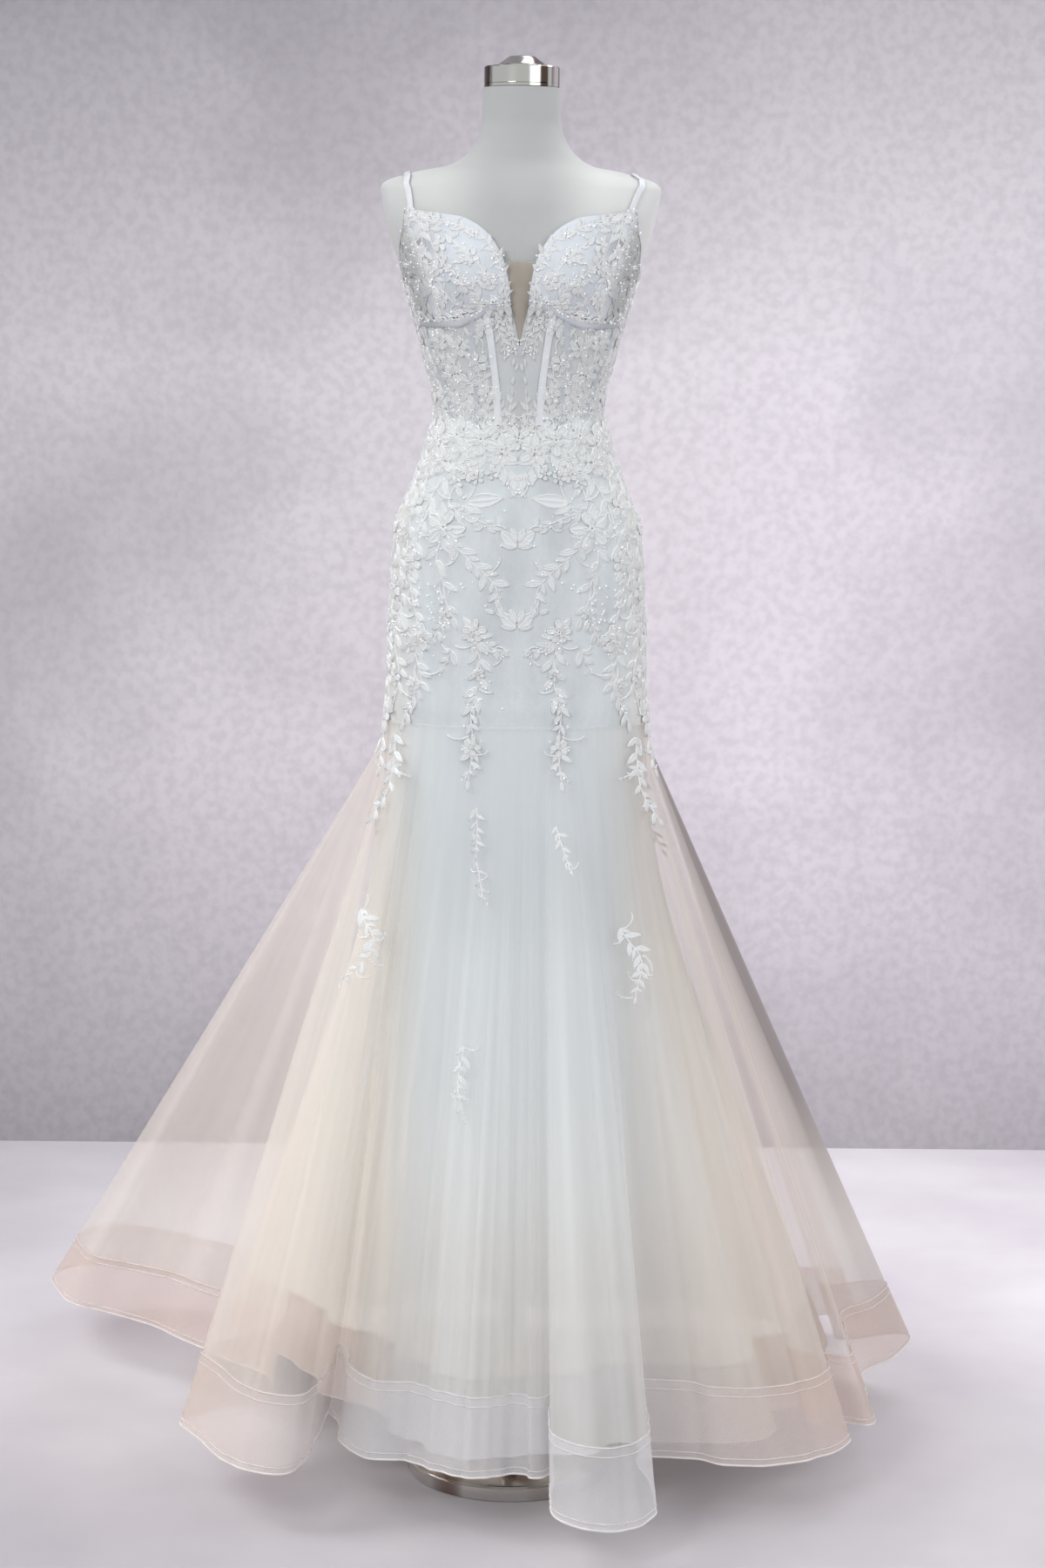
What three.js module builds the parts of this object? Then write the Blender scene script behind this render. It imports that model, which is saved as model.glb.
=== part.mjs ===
import * as THREE from "three";

// Mermaid prom gown worn by a limbless display form on a round chrome base.
// Millimetres, +Z up, the front of the gown faces -Y, origin under the centre of the base.
// Round the body, an angle of 0 is the centre front, +90 the +X side and 180 the centre back.

// ---- driving sizes -------------------------------------------------------------------------
const SEAM = 0.3;             // space left between two sewn pieces
const EDGE = 0.3;             // how far a bodice or hip panel stands back from its seam line
const LIFT = 0.85;            // space under a piece that lies on a panel
const CLEAR = 1.2;            // space between the form and the cloth next to it
const SET_BACK = 0.8;         // how far the form's facets stand back from its true surface
const CLOTH = 1.6;            // wall of the lined bodice and hip panels
const TULLE = 1.2;            // wall of a tulle layer
const PAD = 3.0;              // wall of a padded cup
const CHANNEL_WIDTH = 9, CHANNEL_WALL = 1.0;
const STRAP_WIDTH = 8, STRAP_WALL = 1.2;
const BAND_LIFT = 1.2;        // space between a horsehair band and the net it is sewn to
const BAND_HEIGHT = 100;      // horsehair band at the hem, measured up the cloth
const SIDE_GATHER = 23;       // degrees by which the back folds gather towards the sides
const HIP_HEM = 992;          // where the fitted hips end and the flare begins
const FORM_BOTTOM = 1060;     // underside of the torso, hidden in the skirt
const ZIP_TOP = 1526, ZIP_BOTTOM = 1190, ZIP_WIDTH = 16;
const BASE_RADIUS = 133, BASE_HEIGHT = 22, POLE_RADIUS = 12.5;
const COLLAR_RADIUS = 46.6, COLLAR_HEIGHT = 25.5, NECK_TOP = 1773;

const rows = (names, ...lines) =>
  lines.map((line) => Object.fromEntries(names.map((name, i) => [name, line[i]])));

// Sections of the display form: half width, reach to the front and back, squareness.
const FORM = rows(["z", "half", "front", "back", "square"],
  [1773, 49, 49, 49, 2.0],
  [1735, 49, 49, 50, 2.0],
  [1714, 54, 52, 56, 2.0],
  [1697, 64.5, 56, 62, 2.0],
  [1686, 77, 59, 67, 2.0],
  [1678.5, 93, 63, 71, 2.0],
  [1674, 119, 66, 75, 2.05],
  [1667, 146, 71, 79, 2.15],
  [1661, 165, 75, 83, 2.25],
  [1652, 174, 80, 88, 2.4],
  [1630, 171, 90, 94, 2.5],
  [1595, 163, 98, 97, 2.4],
  [1562, 152, 101, 96, 2.2],
  [1538, 142.5, 101, 94, 2.05],
  [1505, 132.5, 97, 90, 2.0],
  [1477, 123.5, 94, 87, 2.0],
  [1440, 114.5, 89, 83, 2.0],
  [1404, 104.5, 85, 79, 2.0],
  [1374, 102.5, 83, 79, 2.0],
  [1348, 109, 85, 83, 2.0],
  [1311, 120, 89, 93, 2.0],
  [1272, 136, 93, 105, 2.0],
  [1239, 148, 95, 115, 2.0],
  [1206, 153, 95, 121, 2.0],
  [1163, 156, 94, 121, 2.0],
  [1121, 157.5, 92, 117, 2.0],
  [1073, 159, 90, 111, 2.0],
  [1033, 160, 89, 106, 2.0],
  [HIP_HEM - 2, 163, 90, 105, 2.0]);

// The two soft mounds of the bust.
const BUST = { reach: 22, apart: 66, wide: 40, height: 1545, above: 48, below: 38 };

// Upper edge of the gown, from the side of the plunge to the centre back.
const NECKLINE = rows(["angle", "z"],
  [4.6, 1512], [5.3, 1535], [6, 1560], [7.6, 1577], [10.2, 1593], [14.8, 1606], [20.9, 1614.5],
  [30, 1618], [40, 1621], [49, 1624], [54.5, 1600], [61, 1581], [67, 1561], [78, 1553],
  [90, 1550], [125, 1545], [180, 1530]);

// Seams that run round the body.
const UNDERBUST = rows(["angle", "z"],
  [0, 1509], [5.5, 1509], [15, 1512], [24, 1501], [38, 1490.5], [57, 1489.5], [75, 1495]);
const WAIST = rows(["angle", "z"], [0, 1360], [30, 1362], [50, 1366], [90, 1374], [180, 1376]);

// Seams and boning channels that run down the bodice: angle at each height.
const INNER_SEAM = rows(["z", "angle"], [1512, 18.3], [1441, 15.6], [1360, 14]);
const OUTER_BONE = rows(["z", "angle"], [1512, 25.5], [1441, 28.6], [1360, 30]);
const SIDE_SEAM = rows(["z", "angle"], [1560, 70.5], [1490, 68], [1415, 57.8], [1360, 50]);
const BACK_SEAM = rows(["z", "angle"], [1560, 108], [1440, 106], [1360, 104]);
const BACK_BONE = rows(["z", "angle"], [1540, 146], [1440, 149], [1360, 152]);

// Side edges of the nude insert; its upper part tucks under the cups.
const PLUNGE = rows(["z", "angle"],
  [1562, 8.4], [1536, 6.8], [1514, 4.9], [1507, 4.3], [1485, 2.2], [1466, 0.35]);
const PLUNGE_POINT = 1461;    // lower point of the V cut in the centre panel
const PLUNGE_MOUTH = 4.6;     // half angle of that V at the underbust seam

// Strap from the cup over the shoulder to the back panel.
const STRAP = rows(["angle", "z"],
  [47.2, 1614], [48, 1626], [49.5, 1643], [53, 1655], [56, 1661], [64, 1665], [72, 1667], [80, 1668.2],
  [90, 1668.9], [100, 1668.2], [108, 1667], [116, 1665], [124, 1661], [129, 1650],
  [132, 1625], [136, 1585], [139, 1544.6]);

// Largest lace sprays on the +X side: centre line, number of leaf pairs and leaf reach.
const SPRAYS = rows(["name", "carrier", "pairs", "reach", "line"],
  ["applique_waist", "panel", 7, 14, [[5, 1344], [18, 1338], [34, 1344], [52, 1351]]],
  ["applique_hip", "panel", 8, 15, [[20, 1318], [36, 1292], [48, 1240], [42, 1186]]],
  ["applique_front", "panel", 5, 13, [[12, 1146], [18, 1100], [15, 1050], [19, 1008]]],
  ["applique_side", "panel", 8, 13, [[66, 1262], [72, 1190], [64, 1110], [70, 1012]]],
  ["applique_cup", "cup", 6, 12, [[14, 1578], [30, 1560], [44, 1535], [57, 1512]]]);
const CENTRE_SPRAY = { name: "applique_centre", carrier: "panel", pairs: 8, reach: 17,
  line: [[0, 1318], [0, 1262], [0, 1206], [0, 1118]] };

// Folds of the outer flare: each row is a ridge, flank or valley of the hem.
const OUTER_HEM = rows(["angle", "radius", "z"],
  [-180, 800, 12], [-168, 700, 16], [-157, 805, 20], [-147, 705, 35], [-138, 850, 60],
  [-129.5, 868, 82], [-123.5, 770, 85], [-121.3, 628, 85], [-116.3, 461, 82], [-107, 335, 80],
  [-94, 330, 80], [-82.2, 422, 80], [-69.4, 412, 80], [-57.1, 405, 78], [-49.6, 365, 76],
  [-56, 308, 78], [-67, 264, 80], [-81, 238, 82], [-71, 231, 82], [-58, 252, 80],
  [-43.4, 258, 80], [-32.4, 237, 80], [-21, 246, 80], [-12.3, 261, 80], [-4, 249, 80],
  [4.1, 241, 80], [8, 256, 80], [13, 240, 78], [10.2, 292, 68], [10, 338, 60],
  [18.2, 382, 56], [25, 379, 56], [32.4, 333, 60], [37, 290, 68], [42, 242, 78],
  [50.3, 283, 80], [53.3, 340, 80], [60.7, 400, 80], [66.4, 430, 80], [72.7, 446, 80],
  [79.5, 432, 80], [84, 384, 80], [85.5, 430, 76], [86, 474, 72], [97, 482, 78],
  [106, 494, 80], [112, 566, 80], [119, 640, 78], [127, 590, 60], [136, 735, 35],
  [146, 655, 25], [157, 790, 18], [169, 695, 14]);

// Folds of the inner flare, well inside the outer one.
const INNER_HEM = rows(["angle", "radius", "z"],
  [-180, 560, 40], [-169, 620, 36], [-158, 560, 42], [-147, 620, 52], [-136, 560, 70],
  [-126, 480, 88], [-117, 340, 92], [-104, 268, 92], [-90, 236, 92], [-78, 186, 92],
  [-64, 170, 92], [-50, 196, 92], [-38, 198, 92], [-26, 216, 92], [-13, 228, 92],
  [0, 208, 92], [13, 206, 92], [26, 222, 92], [40, 210, 92], [52, 250, 92],
  [62, 330, 92], [72, 358, 92], [82, 338, 92], [92, 400, 92], [102, 420, 92],
  [112, 470, 90], [122, 510, 84], [132, 560, 66], [143, 570, 50], [156, 620, 40],
  [168, 565, 38]);

// Straight opaque sheath inside the flare.
const LINING = rows(["z", "half", "front", "back"],
  [HIP_HEM - 0.5, 163.1, 90.1, 105.1], [900, 160, 88, 103], [820, 158, 88, 105],
  [560, 157, 94, 124], [300, 158, 106, 140]);

// ---- materials -----------------------------------------------------------------------------
const cloth = (name, colour, roughness) => ({ name, colour, roughness, metalness: 0 });
const LACE = cloth("corded_lace_fabric", 0xeef0ee, 0.8);
const SHEER = cloth("sheer_bodice_fabric", 0xe2e4e0, 0.75);
const NUDE = cloth("nude_mesh_fabric", 0xcdbba4, 0.8);
const SATIN = cloth("satin_fabric", 0xf3f5f4, 0.55);
const NET = cloth("tulle_fabric", 0xe9ebe8, 0.75);
const HORSEHAIR = cloth("horsehair_fabric", 0xd9c8bb, 0.6);
const LINEN = cloth("form_linen_fabric", 0xdedcd4, 0.85);
const CHROME = { name: "chrome", colour: 0xc9c7c4, roughness: 0.12, metalness: 1 };

const part = new THREE.Group();
part.name = "mermaid_gown_on_form";

function add(name, positions, triangles, material) {
  const geometry = new THREE.BufferGeometry();
  geometry.setAttribute("position", new THREE.Float32BufferAttribute(positions, 3));
  geometry.setIndex(triangles);
  geometry.computeVertexNormals();
  addGeometry(name, geometry, material);
}

function addGeometry(name, geometry, { name: materialName, colour, roughness, metalness }) {
  const material = new THREE.MeshStandardMaterial({ color: colour, roughness, metalness });
  material.name = materialName;
  const mesh = new THREE.Mesh(geometry, material);
  mesh.name = name;
  part.add(mesh);
}

// ---- curves through the tables -------------------------------------------------------------
// Value of a column at a key, on a monotone cubic through the rows.
function read(table, key, at, column) {
  const up = table[0][key] < table[table.length - 1][key];
  const list = up ? table : [...table].reverse();
  if (at <= list[0][key]) return list[0][column];
  if (at >= list[list.length - 1][key]) return list[list.length - 1][column];
  const i = list.findIndex((row) => row[key] >= at) - 1;
  const slope = (k) => (list[k + 1][column] - list[k][column]) / (list[k + 1][key] - list[k][key]);
  const tangent = (k) => {
    if (k === 0) return slope(0);
    if (k === list.length - 1) return slope(k - 1);
    const a = slope(k - 1), b = slope(k);
    return a * b <= 0 ? 0 : (2 * a * b) / (a + b);
  };
  const h = list[i + 1][key] - list[i][key];
  const t = (at - list[i][key]) / h;
  const p = list[i][column], q = list[i + 1][column];
  return p * (1 + 2 * t) * (1 - t) ** 2 + q * t * t * (3 - 2 * t)
    + h * (tangent(i) * t * (1 - t) ** 2 - tangent(i + 1) * t * t * (1 - t));
}

const radians = THREE.MathUtils.degToRad;
const mix = THREE.MathUtils.lerp;

// Point of the form's surface at an angle and a height.
function formPoint(angle, z) {
  const a = radians(angle);
  const power = 2 / read(FORM, "z", z, "square");
  const sine = Math.sin(a), cosine = Math.cos(a);
  const x = read(FORM, "z", z, "half") * Math.sign(sine) * Math.abs(sine) ** power;
  const reach = read(FORM, "z", z, cosine > 0 ? "front" : "back");
  const spread = z > BUST.height ? BUST.above : BUST.below;
  const bust = cosine <= 0 ? 0 : BUST.reach * cosine ** 0.5
    * Math.exp(-(((Math.abs(x) - BUST.apart) / BUST.wide) ** 2) - ((z - BUST.height) / spread) ** 2);
  const y = -Math.sign(cosine) * Math.abs(cosine) ** power * reach - bust;
  return new THREE.Vector3(x, y, z);
}

// Outward normal of a surface at(u, v) whose u runs round the body and v runs down it.
function normalOf(at, u, v, step) {
  const across = at(u + step, v).sub(at(u - step, v));
  const down = at(u, v + step).sub(at(u, v - step));
  return down.cross(across).normalize();
}

// Point at a distance outside the form.
function skin(angle, z, out) {
  const across = formPoint(angle + 0.5, z).sub(formPoint(angle - 0.5, z));
  const up = formPoint(angle, z + 1).sub(formPoint(angle, z - 1));
  return formPoint(angle, z).addScaledVector(across.cross(up).normalize(), out);
}

const degreesPerMillimetre = (angle, z) =>
  1 / formPoint(angle + 0.5, z).distanceTo(formPoint(angle - 0.5, z));

// ---- builders ------------------------------------------------------------------------------
// Closed wall from two grids of points, outer(i, j) and inner(i, j), with j running down.
// With a ring the last column joins the first; otherwise both side edges are closed.
function wall(name, material, columns, lines, outer, inner, ring = false) {
  const wide = ring ? columns : columns + 1;
  const positions = [];
  for (const point of [outer, inner]) {
    for (let j = 0; j <= lines; j++) {
      for (let i = 0; i < wide; i++) positions.push(...point(i, j).toArray());
    }
  }
  const half = wide * (lines + 1);
  const at = (i, j, face) => face * half + j * wide + (i % wide);
  const triangles = [];
  const quad = (a, b, c, d) => triangles.push(a, b, c, a, c, d);
  for (let j = 0; j < lines; j++) {
    for (let i = 0; i < columns; i++) {
      quad(at(i, j, 0), at(i, j + 1, 0), at(i + 1, j + 1, 0), at(i + 1, j, 0));
      quad(at(i, j, 1), at(i + 1, j, 1), at(i + 1, j + 1, 1), at(i, j + 1, 1));
    }
  }
  for (let i = 0; i < columns; i++) {
    quad(at(i, 0, 0), at(i + 1, 0, 0), at(i + 1, 0, 1), at(i, 0, 1));
    quad(at(i, lines, 0), at(i, lines, 1), at(i + 1, lines, 1), at(i + 1, lines, 0));
  }
  for (let j = 0; j < lines && !ring; j++) {
    quad(at(0, j, 0), at(0, j, 1), at(0, j + 1, 1), at(0, j + 1, 0));
    quad(at(columns, j, 0), at(columns, j + 1, 0), at(columns, j + 1, 1), at(columns, j, 1));
  }
  add(name, positions, triangles, material);
}

// Panel of the fitted gown: place(u, v) gives its angle and height, v running down.
function panel(name, material, columns, lines, place, near, thickness) {
  const grid = (out) => (i, j) => {
    const { angle, z } = place(i / columns, j / lines);
    return skin(angle, z, out);
  };
  wall(name, material, columns, lines, grid(near + thickness), grid(near));
}

// Panel between two seams and two edges; side is +1 for +X and -1 for -X.
function seamedPanel(name, material, columns, lines, side, from, to, top, bottom, thickness) {
  panel(name, material, columns, lines, (u, v) => {
    const across = side > 0 ? u : 1 - u;
    const guess = mix(from(1500), to(1500), across);
    let angle = guess, z = 0;
    for (let pass = 0; pass < 4; pass++) {
      z = mix(top(angle) - EDGE, bottom(angle) + EDGE, v);
      const inset = EDGE * degreesPerMillimetre(angle, z);
      angle = mix(from(z) + inset, to(z) - inset, across);
    }
    return { angle: side * angle, z };
  }, CLEAR, thickness);
}

// Flat ribbon laid along a line of the body, at a distance outside it.
function ribbon(name, material, lines, width, place, near, thickness) {
  const frameAt = (t) => {
    const here = place(t), next = place(Math.min(1, t + 0.01)), last = place(Math.max(0, t - 0.01));
    const run = skin(next.angle, next.z, near).sub(skin(last.angle, last.z, near)).normalize();
    const low = skin(here.angle, here.z, near);
    const high = skin(here.angle, here.z, near + thickness);
    const side = run.cross(high.clone().sub(low).normalize()).normalize();
    return { low, high, side };
  };
  const grid = (face) => (i, j) => {
    const frame = frameAt(j / lines);
    return frame[face].clone().addScaledVector(frame.side, (0.5 - i) * width);
  };
  wall(name, material, 1, lines, grid("high"), grid("low"));
}

function lathe(name, material, profile, segments) {
  const points = profile.map(([radius, z]) => new THREE.Vector2(radius, z));
  const geometry = new THREE.LatheGeometry(points, segments).rotateX(Math.PI / 2);
  addGeometry(name, geometry, material);
}

// ---- display form --------------------------------------------------------------------------
function buildForm() {
  lathe("base_disc", CHROME, [[0, 0], [BASE_RADIUS - 3, 0], [BASE_RADIUS, 3],
    [BASE_RADIUS, BASE_HEIGHT - 5], [BASE_RADIUS - 5, BASE_HEIGHT - 1], [96, BASE_HEIGHT + 2],
    [40, BASE_HEIGHT + 3], [0, BASE_HEIGHT + 3]], 40);
  const poleFoot = BASE_HEIGHT + 3 + SEAM, poleHead = FORM_BOTTOM - SEAM;
  lathe("pole", CHROME, [[0, poleFoot], [22, poleFoot], [22, poleFoot + 12],
    [POLE_RADIUS, poleFoot + 20], [POLE_RADIUS, poleHead - 14], [20, poleHead - 8],
    [20, poleHead], [0, poleHead]], 16);

  const heights = [FORM_BOTTOM + 14, ...FORM.map((row) => row.z).filter((z) => z > FORM_BOTTOM + 20)
    .reverse()];
  const stations = [];
  for (let angle = -180; angle < 180; angle += Math.abs(angle + 5) < 60 ? 7.5 : 12) {
    stations.push(angle);
  }
  const columns = stations.length;
  const positions = [0, 6, FORM_BOTTOM];
  const ringAt = (z, scale, level) => {
    for (const angle of stations) {
      const point = skin(angle, z, -SET_BACK);
      positions.push(point.x * scale, point.y * scale, level);
    }
  };
  ringAt(heights[0], 0.93, FORM_BOTTOM);
  for (const z of heights) ringAt(z, 1, z);
  positions.push(0, 0, NECK_TOP);
  const triangles = [];
  const at = (ring, i) => 1 + ring * columns + (i % columns);
  const last = heights.length, apex = 1 + (last + 1) * columns;
  for (let i = 0; i < columns; i++) {
    triangles.push(0, at(0, i + 1), at(0, i), apex, at(last, i), at(last, i + 1));
    for (let ring = 0; ring < last; ring++) {
      triangles.push(at(ring, i), at(ring, i + 1), at(ring + 1, i + 1));
      triangles.push(at(ring, i), at(ring + 1, i + 1), at(ring + 1, i));
    }
  }
  add("form_torso", positions, triangles, LINEN);

  const collarFoot = NECK_TOP + SEAM, collarHead = collarFoot + COLLAR_HEIGHT;
  lathe("neck_collar", CHROME, [[0, collarFoot], [COLLAR_RADIUS - 1, collarFoot],
    [COLLAR_RADIUS, collarFoot + 1], [COLLAR_RADIUS, collarHead - 1.5],
    [COLLAR_RADIUS - 1.5, collarHead], [0, collarHead]], 32);
  const capFoot = collarHead + SEAM;
  lathe("neck_cap", CHROME, [[0, capFoot], [37.5, capFoot], [36, capFoot + 3],
    [24, capFoot + 10], [15, capFoot + 13], [0, capFoot + 13.5]], 16);
}

// ---- bodice --------------------------------------------------------------------------------
const necklineAt = (angle) => read(NECKLINE, "angle", Math.abs(angle), "z");
const underbustAt = (angle) => read(UNDERBUST, "angle", Math.abs(angle), "z");
const waistAt = (angle) => read(WAIST, "angle", Math.abs(angle), "z");
const lineAt = (table) => (z) => read(table, "z", z, "angle");

// The cup fans out from the side of the plunge to the side seam.
function buildCup(name, side) {
  const stops = NECKLINE.filter((row) => row.angle < 70).map((row) => row.angle);
  const columns = stops.length;
  panel(name, LACE, columns, 7, (u, v) => {
    const column = Math.round(side > 0 ? u * columns : (1 - u) * columns);
    const seam = (z) => read(SIDE_SEAM, "z", z, "angle");
    const low = mix(PLUNGE_MOUTH, seam(1500), column / columns);
    const high = column < columns ? stops[column] : seam(1560);
    const z = mix(necklineAt(high), underbustAt(low) + 4 * EDGE, v);
    const angle = column < columns ? mix(high, low, v)
      : seam(z) - EDGE * degreesPerMillimetre(high, z);
    return { angle: side * angle, z };
  }, CLEAR + 2, PAD);
}

function buildBodice() {
  const insertTop = PLUNGE[0].z, insertFoot = PLUNGE[PLUNGE.length - 1].z;
  panel("plunge_insert", NUDE, 6, 8, (u, v) => {
    const z = mix(insertTop, insertFoot, v);
    return { angle: (2 * u - 1) * read(PLUNGE, "z", z, "angle"), z };
  }, CLEAR, 1.0);

  // The centre panel's upper edge drops into the V of the plunge.
  const stops = [-1, -0.65, -PLUNGE_MOUTH / 17.8, 0, PLUNGE_MOUTH / 17.8, 0.65, 1];
  panel("bodice_centre", SHEER, stops.length - 1, 6, (u, v) => {
    const stop = stops[Math.round(u * (stops.length - 1))];
    const top = (stop === 0 ? PLUNGE_POINT : underbustAt(stop * 17.8)) - EDGE;
    const z = mix(top, waistAt(stop * 15) + EDGE, v);
    const edge = read(INNER_SEAM, "z", z, "angle");
    return { angle: stop * (edge - EDGE * degreesPerMillimetre(edge, z)), z };
  }, CLEAR, CLOTH);

  for (const [word, side] of [["left", -1], ["right", 1]]) {
    buildCup(`cup_${word}`, side);
    seamedPanel(`bodice_front_${word}`, SHEER, 6, 6, side, lineAt(INNER_SEAM), lineAt(SIDE_SEAM),
      underbustAt, waistAt, CLOTH);
    seamedPanel(`bodice_side_${word}`, LACE, 4, 8, side, lineAt(SIDE_SEAM), lineAt(BACK_SEAM),
      necklineAt, waistAt, CLOTH);
    seamedPanel(`bodice_back_${word}`, LACE, 7, 7, side, lineAt(BACK_SEAM), () => 180,
      necklineAt, waistAt, CLOTH);

    const channel = (name, table, top, bottom) => ribbon(`${name}_${word}`, SATIN, 6,
      CHANNEL_WIDTH, (t) => {
        const z = mix(top, bottom, t);
        return { angle: side * read(table, "z", z, "angle"), z };
      }, CLEAR + CLOTH + LIFT, CHANNEL_WALL);
    channel("bone_inner", INNER_SEAM, 1504, 1364);
    channel("bone_outer", OUTER_BONE, 1497, 1366);
    channel("bone_side", SIDE_SEAM, 1484, 1370);
    channel("bone_back", BACK_BONE, 1530, 1380);

    ribbon(`strap_${word}`, SATIN, 16, STRAP_WIDTH, (t) => {
      const place = t * (STRAP.length - 1);
      const i = Math.min(STRAP.length - 2, Math.floor(place));
      return { angle: side * mix(STRAP[i].angle, STRAP[i + 1].angle, place - i),
        z: mix(STRAP[i].z, STRAP[i + 1].z, place - i) };
    }, CLEAR - SEAM, STRAP_WALL);
  }

  ribbon("back_zip", SATIN, 14, ZIP_WIDTH, (t) => ({ angle: 180, z: mix(ZIP_TOP, ZIP_BOTTOM, t) }),
    CLEAR + CLOTH + LIFT, CHANNEL_WALL);
}

// ---- appliques -----------------------------------------------------------------------------
// Corded spray: pairs of pointed leaves along a line, cut as one flat piece that follows the
// cloth it lies on.
function buildSpray(name, side, { carrier, pairs, reach, line }) {
  const near = carrier === "cup" ? CLEAR + 2 + PAD + LIFT : CLEAR + CLOTH + LIFT;
  const middle = new THREE.CatmullRomCurve3(line.map(([angle, z]) => new THREE.Vector3(angle, z)));
  const lines = pairs * 2;
  const grid = (out) => (i, j) => {
    const here = middle.getPoint(j / lines), ahead = middle.getTangent(j / lines);
    const scale = degreesPerMillimetre(here.x, here.y);
    const run = new THREE.Vector2(ahead.x / scale, ahead.y).normalize();
    const taper = Math.sin(Math.PI * mix(0.18, 0.92, j / lines));
    const leaf = j % 2 === 1 ? reach * taper : 2.2;
    const lean = j % 2 === 1 ? leaf * 0.75 : 0;
    const across = (i - 1) * leaf, along = i === 1 ? 0 : lean;
    const right = run.x * along - run.y * across, up = run.y * along + run.x * across;
    return skin(side * (here.x + right * scale), here.y + up, out);
  };
  const flip = (point) => (i, j) => point(side > 0 ? i : 2 - i, j);
  wall(name, LACE, 2, lines, flip(grid(near + CHANNEL_WALL)), flip(grid(near)));
}

function buildAppliques() {
  buildSpray(CENTRE_SPRAY.name, 1, CENTRE_SPRAY);
  for (const spray of SPRAYS) {
    buildSpray(`${spray.name}_left`, -1, spray);
    buildSpray(`${spray.name}_right`, 1, spray);
  }
}

// ---- fitted hips ---------------------------------------------------------------------------
function buildHips() {
  const hipHem = () => HIP_HEM;
  const waistLine = (angle) => waistAt(angle);
  panel("hip_front", LACE, 14, 13, (u, v) => {
    const angle = mix(-90, 90, u) * (1 - 0.0007);
    return { angle, z: mix(waistLine(angle) - EDGE, HIP_HEM + EDGE, v) };
  }, CLEAR, CLOTH);
  for (const [word, side] of [["left", -1], ["right", 1]]) {
    seamedPanel(`hip_back_${word}`, LACE, 7, 13, side, () => 90, () => 180, waistLine, hipHem,
      CLOTH);
  }
}

// ---- flare ---------------------------------------------------------------------------------
// A tulle layer hangs in straight lines from the hips to its folded hem.
function flare(table, out, ease) {
  const points = table.map(({ angle, radius, z }) =>
    new THREE.Vector3(radius * Math.sin(radians(angle)), -radius * Math.cos(radians(angle)), z));
  const hem = new THREE.CatmullRomCurve3(points, true, "centripetal");
  const count = table.length;
  const lengths = [0];
  for (let i = 0; i < count; i++) {
    lengths.push(lengths[i] + points[i].distanceTo(points[(i + 1) % count]));
  }
  // The hip angle each fold hangs from, by the cloth in it and by its own angle.
  const turns = table.map((row) => row.angle + 180);
  const spread = turns.map((turn, i) =>
    (Math.max(...turns.slice(0, i + 1)) + Math.min(...turns.slice(i))) / 2);
  spread.push(360);
  const hipAngle = (u) => {
    const place = u * count, i = Math.min(count - 1, Math.floor(place)), t = place - i;
    const byLength = 360 * mix(lengths[i], lengths[i + 1], t) / lengths[count];
    const even = mix(byLength, mix(spread[i], spread[i + 1], t), 0.5) - 180;
    const behind = Math.max(0, (Math.abs(even) - 70) / 110);
    return even - Math.sign(even) * SIDE_GATHER * Math.sin(behind * Math.PI);
  };
  return (u, v) => {
    const turn = u - Math.floor(u);
    const head = skin(hipAngle(turn), HIP_HEM - SEAM / 2, out);
    const share = (v < ease ? (v * v) / (2 * ease) : v - ease / 2) / (1 - ease / 2);
    const foot = hem.getPoint(turn);
    return new THREE.Vector3(mix(head.x, foot.x, share), mix(head.y, foot.y, share),
      mix(head.z, foot.z, v));
  };
}

function buildFlare(name, table, gores, columnsPerFold, lines, out, ease) {
  const surface = flare(table, out, ease);
  const columns = table.length * columnsPerFold;
  const point = (distance) => (u, v) =>
    surface(u, v).addScaledVector(normalOf(surface, u, Math.min(0.995, Math.max(0.005, v)), 0.002),
      distance);
  for (let gore = 0; gore < gores; gore++) {
    const first = Math.round((gore * columns) / gores);
    const count = Math.round(((gore + 1) * columns) / gores) - first;
    const grid = (distance) => (i, j) => {
      const sewn = point(distance)((first + i) / columns, j / lines);
      const edge = i === 0 ? 1 : i === count ? -1 : 0;
      if (edge === 0) return sewn;
      const inside = point(distance)((first + i + edge) / columns, j / lines);
      return sewn.addScaledVector(inside.sub(sewn).normalize(), SEAM / 2);
    };
    wall(`tulle_${name}_${gore + 1}`, NET, count, lines, grid(0), grid(-TULLE));
  }
  const band = (distance) => (i, j) => {
    const u = i / columns;
    const slant = surface(u, 0.9).distanceTo(surface(u, 1)) * 10;
    return point(distance)(u, 1 - (BAND_HEIGHT / slant) * (1 - j));
  };
  wall(`hem_band_${name}`, HORSEHAIR, columns, 1, band(BAND_LIFT + CHANNEL_WALL), band(BAND_LIFT),
    true);
}

function buildLining() {
  const top = LINING[0].z, foot = LINING[LINING.length - 1].z;
  const section = (angle, z, inside) => new THREE.Vector3(
    (read(LINING, "z", z, "half") - inside) * Math.sin(radians(angle)),
    -(read(LINING, "z", z, Math.abs(angle) < 90 ? "front" : "back") - inside)
      * Math.cos(radians(angle)), z);
  for (const [word, middle] of [["front", 0], ["back", 180]]) {
    const grid = (inside) => (i, j) => section(middle + mix(-89.93, 89.93, i / 12),
      mix(top, foot, j / 4), inside);
    const turned = (inside) => (i, j) => {
      const angle = middle + mix(-89.93, 89.93, i / 12);
      return section(angle > 180 ? angle - 360 : angle, mix(top, foot, j / 4), inside);
    };
    wall(`skirt_lining_${word}`, SATIN, 12, 4, (middle ? turned : grid)(0),
      (middle ? turned : grid)(TULLE));
  }
}

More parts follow.
